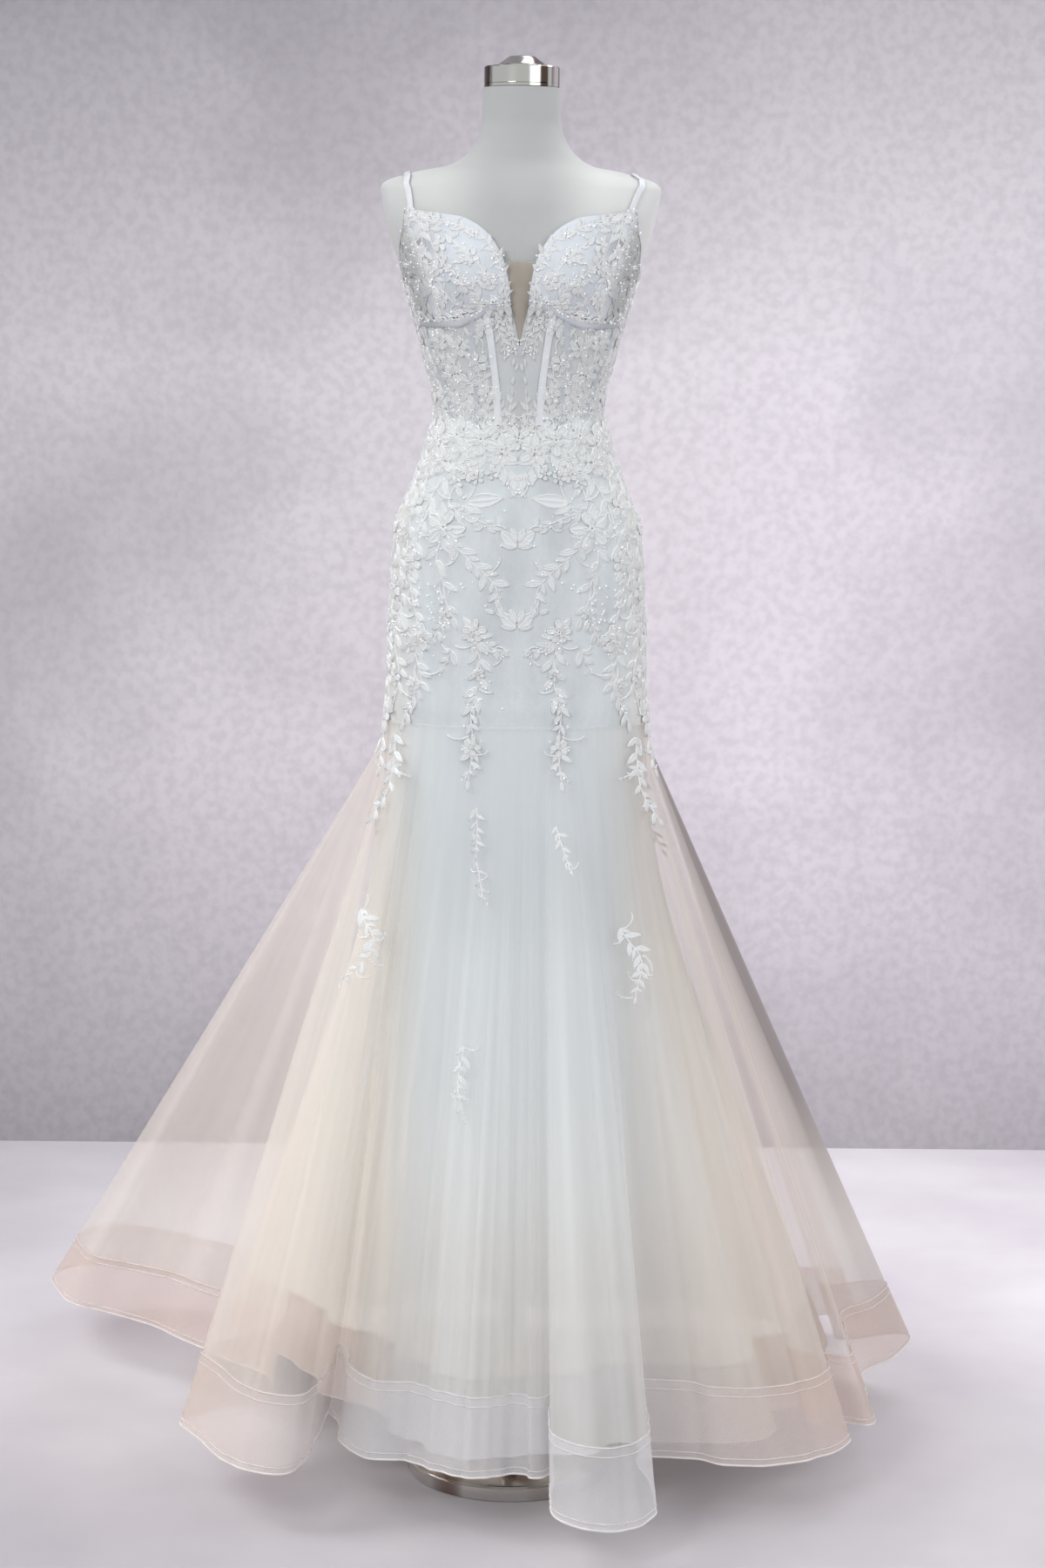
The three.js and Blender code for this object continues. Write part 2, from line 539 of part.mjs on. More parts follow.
buildForm();
buildBodice();
buildHips();
buildAppliques();
buildFlare("outer", OUTER_HEM, 8, 3, 5, CLEAR + CLOTH + TULLE, 0.06);
buildFlare("inner", INNER_HEM, 4, 2, 4, CLEAR + TULLE - 0.5, 0.4);
buildLining();

export default part;
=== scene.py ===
"""Mermaid prom gown on a limbless display form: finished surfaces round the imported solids.

Tables are in millimetres and degrees, as in the part's source, and meshes are made in metres.
Round the body an angle of 0 is the centre front, +90 the +X side and 180 the centre back.
"""
import math
import random

import bpy
import numpy as np
from mathutils import Matrix, Vector


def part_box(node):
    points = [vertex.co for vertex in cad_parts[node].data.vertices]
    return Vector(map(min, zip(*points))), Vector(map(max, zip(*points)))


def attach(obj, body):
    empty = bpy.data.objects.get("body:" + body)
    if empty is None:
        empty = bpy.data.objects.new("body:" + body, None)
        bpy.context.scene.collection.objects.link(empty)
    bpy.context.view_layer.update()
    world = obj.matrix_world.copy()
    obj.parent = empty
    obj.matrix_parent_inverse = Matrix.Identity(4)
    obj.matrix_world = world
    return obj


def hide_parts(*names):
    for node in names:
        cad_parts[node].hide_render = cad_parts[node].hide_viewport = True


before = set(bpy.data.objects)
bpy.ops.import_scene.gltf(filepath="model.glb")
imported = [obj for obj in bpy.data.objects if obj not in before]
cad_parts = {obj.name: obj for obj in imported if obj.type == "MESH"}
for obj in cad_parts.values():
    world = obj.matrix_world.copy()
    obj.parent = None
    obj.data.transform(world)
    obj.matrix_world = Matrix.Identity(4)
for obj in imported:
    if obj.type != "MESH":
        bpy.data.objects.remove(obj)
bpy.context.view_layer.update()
MM = 0.001

# ---- sizes, most of them those of the solids -----------------------------------------------
SEAM, CLEAR, SET_BACK = 0.3, 1.2, 0.8
CLOTH, TULLE, PAD = 1.6, 1.2, 3.0
CHANNEL_WIDTH, STRAP_WIDTH, ZIP_WIDTH = 9, 8, 16
BAND_HEIGHT, BAND_OUT = 100, 1.4      # BAND_OUT is how far a hem band stands off its net
SIDE_GATHER, GATHER_START = 23, 70
HIP_HEM, FORM_BOTTOM, NECK_TOP = 992, 1060, 1773
ZIP_TOP, ZIP_BOTTOM = 1526, 1190
PANEL_FACE = CLEAR + CLOTH            # outside of a bodice or hip panel
CUP_FACE = CLEAR + 2 + PAD            # outside of a padded cup
OUTER_OUT = CLEAR + CLOTH + TULLE     # how far the outer flare starts from the form

# The form's sections at heights z: half width, depth in front and behind, and squareness.
FORM = dict(
    z=[1773, 1735, 1714, 1697, 1686, 1678.5, 1674, 1667, 1661, 1652, 1630, 1595, 1562, 1538, 1505,
       1477, 1440, 1404, 1374, 1348, 1311, 1272, 1239, 1206, 1163, 1121, 1073, 1033, 990],
    half=[49, 49, 54, 64.5, 77, 93, 119, 146, 165, 174, 171, 163, 152, 142.5, 132.5, 123.5, 114.5,
          104.5, 102.5, 109, 120, 136, 148, 153, 156, 157.5, 159, 160, 163],
    front=[49, 49, 52, 56, 59, 63, 66, 71, 75, 80, 90, 98, 101, 101, 97, 94, 89, 85, 83, 85, 89,
           93, 95, 95, 94, 92, 90, 89, 90],
    back=[49, 50, 56, 62, 67, 71, 75, 79, 83, 88, 94, 97, 96, 94, 90, 87, 83, 79, 79, 83, 93, 105,
          115, 121, 121, 117, 111, 106, 105],
    square=[2] * 6 + [2.05, 2.15, 2.25, 2.4, 2.5, 2.4, 2.2, 2.05] + [2] * 15)
SIDES = (("left", -1), ("right", 1))      # left is -X, as seen in the photo
BUST = dict(reach=22, apart=66, wide=40, height=1545, above=48, below=38)

# Edges are (angle, height), seams and the plunge's side are (height, angle).
NECKLINE = [(4.6, 1512), (5.3, 1535), (6, 1560), (7.6, 1577), (10.2, 1593), (14.8, 1606),
            (20.9, 1614.5), (30, 1618), (40, 1621), (49, 1624), (54.5, 1600), (61, 1581),
            (67, 1561), (78, 1553), (90, 1550), (125, 1545), (180, 1530)]
UNDERBUST = [(0, 1509), (5.5, 1509), (15, 1512), (24, 1501), (38, 1490.5), (57, 1489.5),
             (75, 1495)]
WAIST = [(0, 1360), (30, 1362), (50, 1366), (90, 1374), (180, 1376)]
INNER_SEAM = [(1512, 18.3), (1441, 15.6), (1360, 14)]
OUTER_BONE = [(1512, 25.5), (1441, 28.6), (1360, 30)]
SIDE_SEAM = [(1560, 70.5), (1490, 68), (1415, 57.8), (1360, 50)]
BACK_SEAM = [(1560, 108), (1440, 106), (1360, 104)]
BACK_BONE = [(1540, 146), (1440, 149), (1360, 152)]
PLUNGE = [(1562, 8.4), (1536, 6.8), (1514, 4.9), (1507, 4.3), (1485, 2.2), (1466, 0.35)]
PLUNGE_POINT, PLUNGE_MOUTH = 1461, 4.6
STRAP_FRONT = {"left": [(47.8, 1614), (47.5, 1626), (47.4, 1636), (48, 1646), (50.2, 1654),
                        (54, 1660), (60, 1664)],
               "right": [(47, 1614), (48.4, 1628), (50.4, 1640), (53.4, 1650), (57.5, 1657),
                         (62, 1661), (66, 1664.6)]}
STRAP_BACK = [(72, 1667), (80, 1668.2), (90, 1668.9), (100, 1668.2), (108, 1667), (116, 1665),
              (124, 1661), (129, 1650), (132, 1625), (136, 1585), (139, 1544.6)]

# Folds of the two flares: angle, radius and height of each ridge, flank or valley of the hem.
OUTER_HEM = [
    (-180, 800, 12), (-168, 700, 16), (-157, 805, 20), (-147, 705, 35), (-138, 850, 60),
    (-129.5, 868, 82), (-123.5, 770, 85), (-121.3, 628, 85), (-116.3, 461, 82), (-107, 335, 80),
    (-94, 330, 80), (-82.2, 422, 80), (-69.4, 412, 80), (-57.1, 405, 78), (-49.6, 365, 76),
    (-56, 308, 78), (-67, 264, 80), (-81, 238, 82), (-71, 231, 82), (-58, 252, 80),
    (-43.4, 258, 80), (-32.4, 237, 80), (-21, 246, 80), (-12.3, 261, 80), (-4, 249, 80),
    (4.1, 241, 80), (8, 256, 80), (13, 240, 78), (10.2, 292, 68), (10, 338, 60),
    (18.2, 382, 56), (25, 379, 56), (32.4, 333, 60), (37, 290, 68), (42, 242, 78),
    (50.3, 283, 80), (53.3, 340, 80), (60.7, 400, 80), (66.4, 430, 80), (72.7, 446, 80),
    (79.5, 432, 80), (84, 384, 80), (85.5, 430, 76), (86, 474, 72), (97, 482, 78),
    (106, 494, 80), (112, 566, 80), (119, 640, 78), (127, 590, 60), (136, 735, 35),
    (146, 655, 25), (157, 790, 18), (169, 695, 14)]
INNER_HEM = [
    (-180, 560, 40), (-169, 620, 36), (-158, 560, 42), (-147, 620, 52), (-136, 560, 70),
    (-126, 480, 88), (-117, 340, 92), (-104, 268, 92), (-90, 236, 92), (-78, 186, 92),
    (-64, 170, 92), (-50, 196, 92), (-38, 198, 92), (-26, 216, 92), (-13, 228, 92),
    (0, 208, 92), (13, 206, 92), (26, 222, 92), (40, 210, 92), (52, 250, 92),
    (62, 330, 92), (72, 358, 92), (82, 338, 92), (92, 400, 92), (102, 420, 92),
    (112, 470, 90), (122, 510, 84), (132, 560, 66), (143, 570, 50), (156, 620, 40),
    (168, 565, 38)]
LINING = dict(z=[991.5, 900, 820, 560, 300], half=[163.1, 160, 158, 157, 158],
              front=[90.1, 88, 88, 94, 106], back=[105.1, 103, 105, 124, 140])


# ---- curves through the tables -------------------------------------------------------------
def column(keys, values):
    """A column of a table as a monotone cubic through its rows, for arrays of keys."""
    order = np.argsort(keys, kind="stable")
    k, v = np.array(keys, float)[order], np.array(values, float)[order]
    slope = np.diff(v) / np.diff(k)
    tangent = np.empty(len(k))
    tangent[0], tangent[-1] = slope[0], slope[-1]
    a, b = slope[:-1], slope[1:]
    same = a * b > 0
    tangent[1:-1] = np.where(same, 2 * a * b / np.where(same, a + b, 1), 0)

    def value(at):
        at = np.clip(at, k[0], k[-1])
        i = np.clip(np.searchsorted(k, at) - 1, 0, len(k) - 2)
        h = k[i + 1] - k[i]
        t = (at - k[i]) / h
        return (v[i] * (1 + 2 * t) * (1 - t) ** 2 + v[i + 1] * t * t * (3 - 2 * t)
                + h * (tangent[i] * t * (1 - t) ** 2 - tangent[i + 1] * t * t * (1 - t)))
    return value


def line(pairs):
    return column(*zip(*pairs))


form_half, form_front, form_back, form_square = (
    column(FORM["z"], FORM[name]) for name in ("half", "front", "back", "square"))
neckline, underbust, waist = line(NECKLINE), line(UNDERBUST), line(WAIST)
inner_seam, outer_bone, side_seam = line(INNER_SEAM), line(OUTER_BONE), line(SIDE_SEAM)
back_seam, back_bone, plunge_edge = line(BACK_SEAM), line(BACK_BONE), line(PLUNGE)


def smooth(low, high, value):
    """Soft step from 0 at low to 1 at high; low may be the larger of the two."""
    t = np.clip((value - low) / (high - low), 0, 1)
    return t * t * (3 - 2 * t)


def unit(vectors):
    return vectors / np.maximum(np.linalg.norm(vectors, axis=-1, keepdims=True), 1e-9)


def form_point(angle, z):
    """Point of the form's surface at an angle and a height."""
    angle, z = np.broadcast_arrays(np.asarray(angle, float), np.asarray(z, float))
    sine, cosine = np.sin(np.radians(angle)), np.cos(np.radians(angle))
    power = 2 / form_square(z)
    x = form_half(z) * np.sign(sine) * np.abs(sine) ** power
    reach = np.where(cosine > 0, form_front(z), form_back(z))
    spread = np.where(z > BUST["height"], BUST["above"], BUST["below"])
    bust = BUST["reach"] * np.sqrt(np.maximum(cosine, 0)) * np.exp(
        -((np.abs(x) - BUST["apart"]) / BUST["wide"]) ** 2 - ((z - BUST["height"]) / spread) ** 2)
    y = -np.sign(cosine) * np.abs(cosine) ** power * reach - bust
    return np.stack([x, y, z], -1)


def skin(angle, z, out):
    """Point at a distance outside the form."""
    angle, z = np.asarray(angle, float), np.asarray(z, float)
    across = form_point(angle + 0.5, z) - form_point(angle - 0.5, z)
    up = form_point(angle, z + 1) - form_point(angle, z - 1)
    return form_point(angle, z) + unit(np.cross(across, up)) * np.asarray(out)[..., None]


class Flare:
    """A tulle layer that hangs in straight lines from the hips to its folded hem."""

    def __init__(self, table, out, ease):
        rows = np.array(table, float)
        turn = np.radians(rows[:, 0])
        self.points = np.stack(
            [rows[:, 1] * np.sin(turn), -rows[:, 1] * np.cos(turn), rows[:, 2]], -1)
        self.count, self.out, self.ease = len(rows), out, ease
        steps = np.linalg.norm(np.roll(self.points, -1, 0) - self.points, axis=1)
        self.length = steps.sum()
        self.walked = np.concatenate([[0], np.cumsum(steps)]) / self.length
        turns = rows[:, 0] + 180
        highest = np.maximum.accumulate(turns)
        lowest = np.minimum.accumulate(turns[::-1])[::-1]
        self.spread = np.concatenate([(highest + lowest) / 2, [360]])
        self.places = np.linspace(0, 1, 2001)
        self.angles = self.hip_angle(self.places)

    def hip_angle(self, u):
        """Where round the hips the cloth at a place of the hem comes from.

        Behind the sides it is gathered towards them, by up to SIDE_GATHER degrees.
        """
        place = np.asarray(u) * self.count
        rows = np.arange(self.count + 1)
        even = (360 * np.interp(place, rows, self.walked)
                + np.interp(place, rows, self.spread)) / 2 - 180
        behind = np.maximum(0, (np.abs(even) - GATHER_START) / (180 - GATHER_START))
        return even - np.sign(even) * SIDE_GATHER * np.sin(behind * np.pi)

    def place_of(self, angle):
        """Where round the hem the cloth from an angle of the hips goes, from 0 to 1."""
        return np.interp(angle, self.angles, self.places)

    def hem(self, u):
        """Point of a smooth curve through the table, at a place round the hem from 0 to 1."""
        place = (np.asarray(u) % 1) * self.count
        i = np.floor(place).astype(int)
        t = (place - i)[..., None]
        a, b, c, d = (self.points[(i + k) % self.count] for k in (-1, 0, 1, 2))
        gap = [np.sqrt(np.linalg.norm(q - p, axis=-1, keepdims=True))
               for p, q in ((a, b), (b, c), (c, d))]
        start = ((b - a) / gap[0] - (c - a) / (gap[0] + gap[1]) + (c - b) / gap[1]) * gap[1]
        end = ((c - b) / gap[1] - (d - b) / (gap[1] + gap[2]) + (d - c) / gap[2]) * gap[1]
        return (b + start * t + (-3 * b + 3 * c - 2 * start - end) * t ** 2
                + (2 * b - 2 * c + start + end) * t ** 3)

    def smooth_point(self, u, v):
        """Point of the layer without its creases: straight down from a short eased start."""
        u, v = np.broadcast_arrays(np.asarray(u, float), np.asarray(v, float))
        head = skin(self.hip_angle(u % 1), HIP_HEM - SEAM / 2, self.out)
        foot = self.hem(u)
        ease = self.ease
        share = np.where(v < ease, v * v / (2 * ease), v - ease / 2) / (1 - ease / 2)
        across = head[..., :2] + (foot[..., :2] - head[..., :2]) * share[..., None]
        height = head[..., 2] + (foot[..., 2] - head[..., 2]) * v
        return np.concatenate([across, height[..., None]], -1)

    def normal(self, u, v):
        step = 0.002
        v = np.clip(v, 0.005, 0.995)
        across = self.smooth_point(u + step, v) - self.smooth_point(u - step, v)
        down = self.smooth_point(u, v + step) - self.smooth_point(u, v - step)
        return unit(np.cross(down, across))

    def at(self, u, v, out, creases):
        """Point at a place round the hem, a share of the way down, at a distance outwards."""
        u, v = np.broadcast_arrays(np.asarray(u, float), np.asarray(v, float))
        rise = np.asarray(out, float) + creases(u % 1, v)
        return self.smooth_point(u, v) + self.normal(u, v) * rise[..., None]


outer = Flare(OUTER_HEM, OUTER_OUT, 0.06)
inner = Flare(INNER_HEM, CLEAR + TULLE - 0.5, 0.4)

# Soft folds between the main ones: place round the outer hem, start, width and depth in mm.
CREASES = [
    (0.020, 0.30, 0.011, 7.0), (0.046, 0.12, 0.008, -8.0), (0.083, 0.25, 0.008, 6.0),
    (0.118, 0.05, 0.006, 7.5), (0.137, 0.10, 0.005, -6.0), (0.158, 0.05, 0.004, 5.0),
    (0.190, 0.02, 0.004, -6.5), (0.212, 0.06, 0.0035, 5.5), (0.243, 0.15, 0.004, -5.0),
    (0.279, 0.05, 0.0035, 5.0), (0.378, 0.08, 0.0050, 5.0), (0.394, 0.30, 0.0030, -4.0),
    (0.412, 0.05, 0.0045, 5.4), (0.431, 0.22, 0.0040, -5.2), (0.447, 0.12, 0.0030, 3.8),
    (0.464, 0.03, 0.0050, -5.4), (0.484, 0.18, 0.0040, 4.6), (0.559, 0.10, 0.0045, 5.4),
    (0.577, 0.02, 0.0040, -5.0), (0.596, 0.22, 0.0045, 4.8), (0.668, 0.05, 0.0050, -6.0),
    (0.690, 0.14, 0.0045, 6.2), (0.716, 0.04, 0.0055, -6.4), (0.742, 0.22, 0.0045, 6.0),
    (0.781, 0.04, 0.0060, 6.5), (0.825, 0.10, 0.0080, -7.0), (0.868, 0.22, 0.0080, 6.5),
    (0.905, 0.06, 0.0070, -7.0), (0.948, 0.18, 0.0100, 7.0), (0.981, 0.10, 0.0080, -6.0)]
DARK_FOLD = 0.881      # place round the outer hem of the fold that turns edge-on at the +X side, where shade is painted on the tulle


def outer_creases(u, v):
    rise = np.zeros(np.shape(u))
    for place, start, width, depth in CREASES:
        away = (u - place + 0.5) % 1 - 0.5
        rise += depth * np.exp(-(away / width) ** 2) * smooth(start, min(1, start + 0.45), v)
    return rise + 0.4 * np.sin(u * 2 * np.pi * 71) * smooth(0.0, 0.5, v)


def inner_creases(u, v):
    wide = (3.4 * np.sin(u * 2 * np.pi * 17) + 2.6 * np.sin(u * 2 * np.pi * 29 + 1)
            + 1.2 * np.sin(u * 2 * np.pi * 47 + 2))
    return wide * smooth(0.02, 0.7, v)


def cover(angle, z):
    """How far the outside of the gown's cloth is from the form above the flare."""
    angle = np.abs(angle)
    on_cup = smooth(-5, 2, z - underbust(angle)) * smooth(73, 66, angle)
    near_flare = smooth(1030, HIP_HEM, z)
    return PANEL_FACE + (CUP_FACE - PANEL_FACE) * on_cup + (OUTER_OUT - PANEL_FACE) * near_flare


def gown(angle, z, out):
    """Point at a distance outside the gown, on its panels or down its outer flare."""
    angle, z, out = np.broadcast_arrays(
        *(np.asarray(value, float) for value in (angle, z, out)))
    points = skin(angle, np.maximum(z, HIP_HEM), cover(angle, z) + out)
    low = z < HIP_HEM
    if low.any():
        u = outer.place_of(angle[low])
        v = (HIP_HEM - z[low]) / (HIP_HEM - outer.hem(u)[..., 2])
        points[low] = outer.at(u, v, out[low], outer_creases)
    return points


def cloth_frames(angle, z):
    """Turns a step in angle and height into millimetres to the right and up the cloth."""
    turn = (gown(angle + 0.4, z, 0) - gown(angle - 0.4, z, 0)) / 0.8
    climb = (gown(angle, z + 1.5, 0) - gown(angle, z - 1.5, 0)) / 3
    right = unit(turn)
    along = (climb * right).sum(-1)
    up = unit(climb - right * along[..., None])
    rows = [[(turn * right).sum(-1), along], [(turn * up).sum(-1), (climb * up).sum(-1)]]
    return np.moveaxis(np.array(rows), -1, 0)


# ---- materials -----------------------------------------------------------------------------
def srgb(red, green, blue):
    def linear(value):
        value /= 255
        return value / 12.92 if value <= 0.04045 else ((value + 0.055) / 1.055) ** 2.4
    return (linear(red), linear(green), linear(blue), 1)


class Material:
    """A Principled material with small helpers for its procedural nodes.

    Colours are sRGB from 0 to 255. Names of sockets may have _ for a space.
    """

    def __init__(self, name, colour, roughness, **sockets):
        self.made = bpy.data.materials.new(name)
        self.made.use_nodes = True
        self.tree = self.made.node_tree
        self.shader = self.tree.nodes["Principled BSDF"]
        sockets.update({"Base Color": srgb(*colour), "Roughness": roughness})
        for socket, value in sockets.items():
            self.shader.inputs[socket.replace("_", " ")].default_value = value

    def node(self, kind, links=(), **values):
        """New node with values on its inputs or settings, and sockets linked to its inputs."""
        made = self.tree.nodes.new("ShaderNode" + kind)
        for name, value in values.items():
            socket = name.replace("_", " ")
            if socket in made.inputs:
                made.inputs[socket].default_value = value
            else:
                setattr(made, name, value)
        for name, socket in dict(links).items():
            self.tree.links.new(socket, made.inputs[name])
        return made

    def link(self, socket, name):
        self.tree.links.new(socket, self.shader.inputs[name])

    def place(self, kind="Object", scale=(1, 1, 1), turn=0.0):
        source = self.node("TexCoord").outputs[kind]
        return self.node("Mapping", {"Vector": source}, Scale=scale,
                         Rotation=(0, 0, turn)).outputs["Vector"]

    def axis(self, name, kind="Object"):
        """X, Y or Z of the place on the object or on the flat cloth, in metres."""
        return self.node("SeparateXYZ", {"Vector": self.place(kind)}).outputs[name]

    def noise(self, scale, detail, kind="Object", stretch=(1, 1, 1)):
        return self.node("TexNoise", {"Vector": self.place(kind, stretch)}, Scale=scale,
                         Detail=detail).outputs["Fac"]

    def wave(self, scale, turn, kind="UV", distortion=0.0):
        return self.node("TexWave", {"Vector": self.place(kind, turn=turn)}, Scale=scale,
                         Distortion=distortion).outputs["Fac"]

    def attribute(self, name):
        return self.node("Attribute", attribute_name=name).outputs["Fac"]

    def range(self, value, low, high, start=0.3, end=0.7):
        """From low at start to high at end."""
        return self.node("MapRange", {"Value": value}, From_Min=start, From_Max=end,
                         To_Min=low, To_Max=high).outputs["Result"]

    def calculate(self, operation, first, second, **settings):
        return self.node("Math", {0: first, 1: second}, operation=operation,
                         **settings).outputs["Value"]

    def multiply(self, first, second):
        return self.calculate("MULTIPLY", first, second)

    def blend(self, factor, first, second):
        """Base colour between two colours."""
        made = self.node("Mix", {"Factor": factor}, data_type="RGBA")
        for socket, colour in ((6, first), (7, second)):
            made.inputs[socket].default_value = srgb(*colour)
        self.link(made.outputs[2], "Base Color")
        return made.outputs[2]

    def patchy(self, first, second, *noise):
        """Base colour in soft uneven patches of two colours."""
        return self.blend(self.range(self.noise(*noise), 0, 1), first, second)

    def darker(self, colour, share):
        """Base colour multiplied by a share below 1."""
        dark = self.node("Mix", {6: colour, 7: share}, data_type="RGBA", blend_type="MULTIPLY",
                         Factor=1)
        self.link(dark.outputs[2], "Base Color")

    def cloudy(self, cool, warm, deep):
        """Cool at tone 0 and warm at tone 1, darker in soft uneven streaks down the cloth."""
        self.darker(self.blend(self.attribute("tone"), cool, warm), self.multiply(
            self.range(self.noise(20, 4, "UV", (1, 0.25, 1)), deep, 1, 0.38, 0.6),
            self.range(self.noise(150, 2, "UV", (1, 0.4, 1)), 0.95, 1)))

    def bump(self, height, strength, distance):
        made = self.node("Bump", {"Height": height}, Strength=strength, Distance=distance)
        self.link(made.outputs["Normal"], "Normal")

    def weave(self, threads, strength, distance=0.0004, turn=0.0):
        """Crossed threads, as a bump."""
        crossed = (self.wave(threads, turn + more) for more in (0, math.pi / 2))
        self.bump(self.multiply(*crossed), strength, distance)


def tulle_material(name, warm, solid, deep, seam_share):
    """Fine net: see-through, denser where its layers bunch and in soft streaks, and darker by painted
    shade where its shade attribute is high.
    """
    cool = (241, 245, 246)
    made = Material(name, cool, 0.75, Sheen_Weight=0.25, Sheen_Roughness=0.4)
    thick = made.range(made.noise(2.0, 2.0, "UV", (8, 0.3, 1)), solid, deep, 0.36, 0.68)
    dense = made.calculate("ADD", thick, made.attribute("gather"), use_clamp=True)
    below = made.range(made.axis("Y", "UV"), 1.0, seam_share, -0.30, 0.0)
    made.link(made.multiply(dense, below), "Alpha")
    base = made.blend(made.attribute("tone"), cool, warm)
    # Painted shade: the colour goes towards a dark brownish grey by the stored shade attribute.
    shaded = made.node("Mix", {"Factor": made.attribute("shade"), 6: base}, data_type="RGBA")
    shaded.inputs[7].default_value = srgb(150, 140, 138)
    made.link(shaded.outputs[2], "Base Color")
    made.bump(made.noise(900, 0, "UV"), 0.12, 0.0004)
    return made


def make_materials():
    made = {}
    lace = made["lace"] = Material("corded_lace", (244, 247, 247), 0.62, Sheen_Weight=0.3)
    white = lace.blend(lace.range(lace.attribute("cord"), 0, 1, 0.3, 0.6), (240, 246, 247),
                       (255, 255, 255))
    lace.darker(white, lace.range(lace.attribute("grey"), 1, 0.68, 0, 1))
    lace.bump(lace.wave(420, 0.6, "Object", 3.0), 0.35, 0.0004)

    for key, name, colour, roughness, sheen, cool, warm, deep, weave in (
            ("ground", "ground_net_over_satin", (231, 238, 240), 0.66, 0.25,
             (231, 238, 240), (240, 238, 232), 0.88, (230, 0.5, 0.0005)),
            ("side_net", "side_net_net_over_satin", (203, 207, 211), 0.66, 0.25,
             (203, 207, 211), (212, 210, 206), 0.88, (230, 0.5, 0.0005)),
            # For the cup, tone 1 is a darker grey: partly the net over the form, partly painted shade
            # where the cup turns sideways.
            ("cup", "cup_satin_and_net", (232, 236, 241), 0.55, 0.2,
             (233, 239, 245), (180, 183, 187), 0.93, (240, 0.4, 0.0004))):
        cloth = made[key] = Material(name, colour, roughness, Sheen_Weight=sheen)
        cloth.cloudy(cool, warm, deep)
        cloth.weave(*weave, turn=math.pi / 4)

    for key, name, colour, roughness, sockets, first, second, noise, weave in (
            ("sheer", "bodice_sheer", (226, 228, 227), 0.7, dict(Alpha=0.72),
             (234, 238, 239), (244, 247, 248), (20, 3), (220, 0.45)),
            ("nude", "nude_mesh", (196, 186, 172), 0.75, dict(Alpha=0.72),
             (190, 180, 166), (203, 194, 181), (35, 2), (260, 0.4)),
            ("satin", "satin_channel", (236, 240, 243), 0.42,
             dict(Sheen_Weight=0.2, Coat_Weight=0.1),
             (231, 235, 239), (241, 244, 246), (45, 2), (330, 0.25)),
            ("veiled_satin", "channel_under_net", (226, 231, 238), 0.5, dict(Alpha=0.6),
             (221, 227, 234), (231, 236, 241), (45, 2), (330, 0.25)),
            ("lining", "lining_satin", (226, 231, 233), 0.55, dict(Sheen_Weight=0.15),
             (234, 240, 242), (238, 243, 245), (7, 3, "UV", (1, 0.2, 1)), (300, 0.25)),
            ("edge", "rolled_edge", (240, 236, 233), 0.5, dict(Sheen_Weight=0.3),
             (240, 236, 234), (226, 219, 215), (60, 2), None),
            # The beads glow a little: painted glints, not a lamp.
            ("pearl", "bead_pearl", (246, 248, 250), 0.12,
             dict(Coat_Weight=0.8, Emission_Color=(1, 1, 1, 1), Emission_Strength=0.25),
             (250, 251, 252), (226, 230, 238), (90, 1), None),
            ("teeth", "zip_teeth", (222, 224, 224), 0.35, {},
             (228, 230, 230), (212, 214, 214), (120, 1), None)):
        plain = made[key] = Material(name, colour, roughness, **sockets)
        plain.patchy(first, second, *noise)
        if weave:
            plain.weave(*weave)
    edge, lining = made["edge"], made["lining"]
    edge.bump(edge.noise(400, 2), 0.3, 0.0005)
    lining.link(lining.range(lining.axis("Y", "UV"), 0, 1, -0.69, -0.32), "Alpha")

    made["tulle_outer"] = tulle_material("tulle_outer", (253, 243, 234), 0.27, 0.34, 1.0)
    made["tulle_inner"] = tulle_material("tulle_inner", (255, 249, 237), 0.46, 0.58, 0.1)

    band = made["band"] = Material("horsehair_band", (226, 211, 202), 0.5, Sheen_Weight=0.3)
    threads = band.multiply(*(band.wave(130, turn) for turn in (0.9, -0.9)))
    band.link(band.range(threads, 0.35, 0.52, 0.05, 0.5), "Alpha")
    band.blend(band.attribute("tone"), (240, 239, 243), (230, 204, 192))
    band.bump(threads, 0.5, 0.0006)

    linen = made["linen"] = Material("form_linen", (198, 199, 199), 0.9, Sheen_Weight=0.15)
    # Painted light: the form's tone is lighter towards its sides, more on the +X side.
    plain = linen.blend(linen.attribute("tone"), (200, 201, 201), (242, 243, 241))
    linen.darker(plain, linen.range(linen.noise(9, 4), 0.93, 1))
    linen.weave(330, 0.45, 0.0005)

    # Painted reflections: soft dark stripes in the chrome's colour stand for the room it reflects; the
    # smears only vary its roughness.
    for name, reflection_scale, dark in (("chrome", 34, (104, 88, 78)), ("chrome_foot", 9, (158, 142, 132))):
        chrome = made[name] = Material(name, (196, 193, 190), 0.13, Metallic=1.0)
        smears = chrome.noise(18, 3, "Object", (1, 1, 0.3))
        chrome.link(chrome.range(smears, 0.08, 0.2), "Roughness")
        painted_reflections = chrome.noise(reflection_scale, 1, "Object", (1, 1, 0.04))
        chrome.blend(chrome.range(painted_reflections, 0, 1, 0.5, 0.56), (226, 224, 219), dark)
    return made


MATERIALS = make_materials()


# ---- mesh helpers --------------------------------------------------------------------------
def add(name, data):
    """New object in the scene."""
    made = bpy.data.objects.new(name, data)
    bpy.context.scene.collection.objects.link(made)
    return made


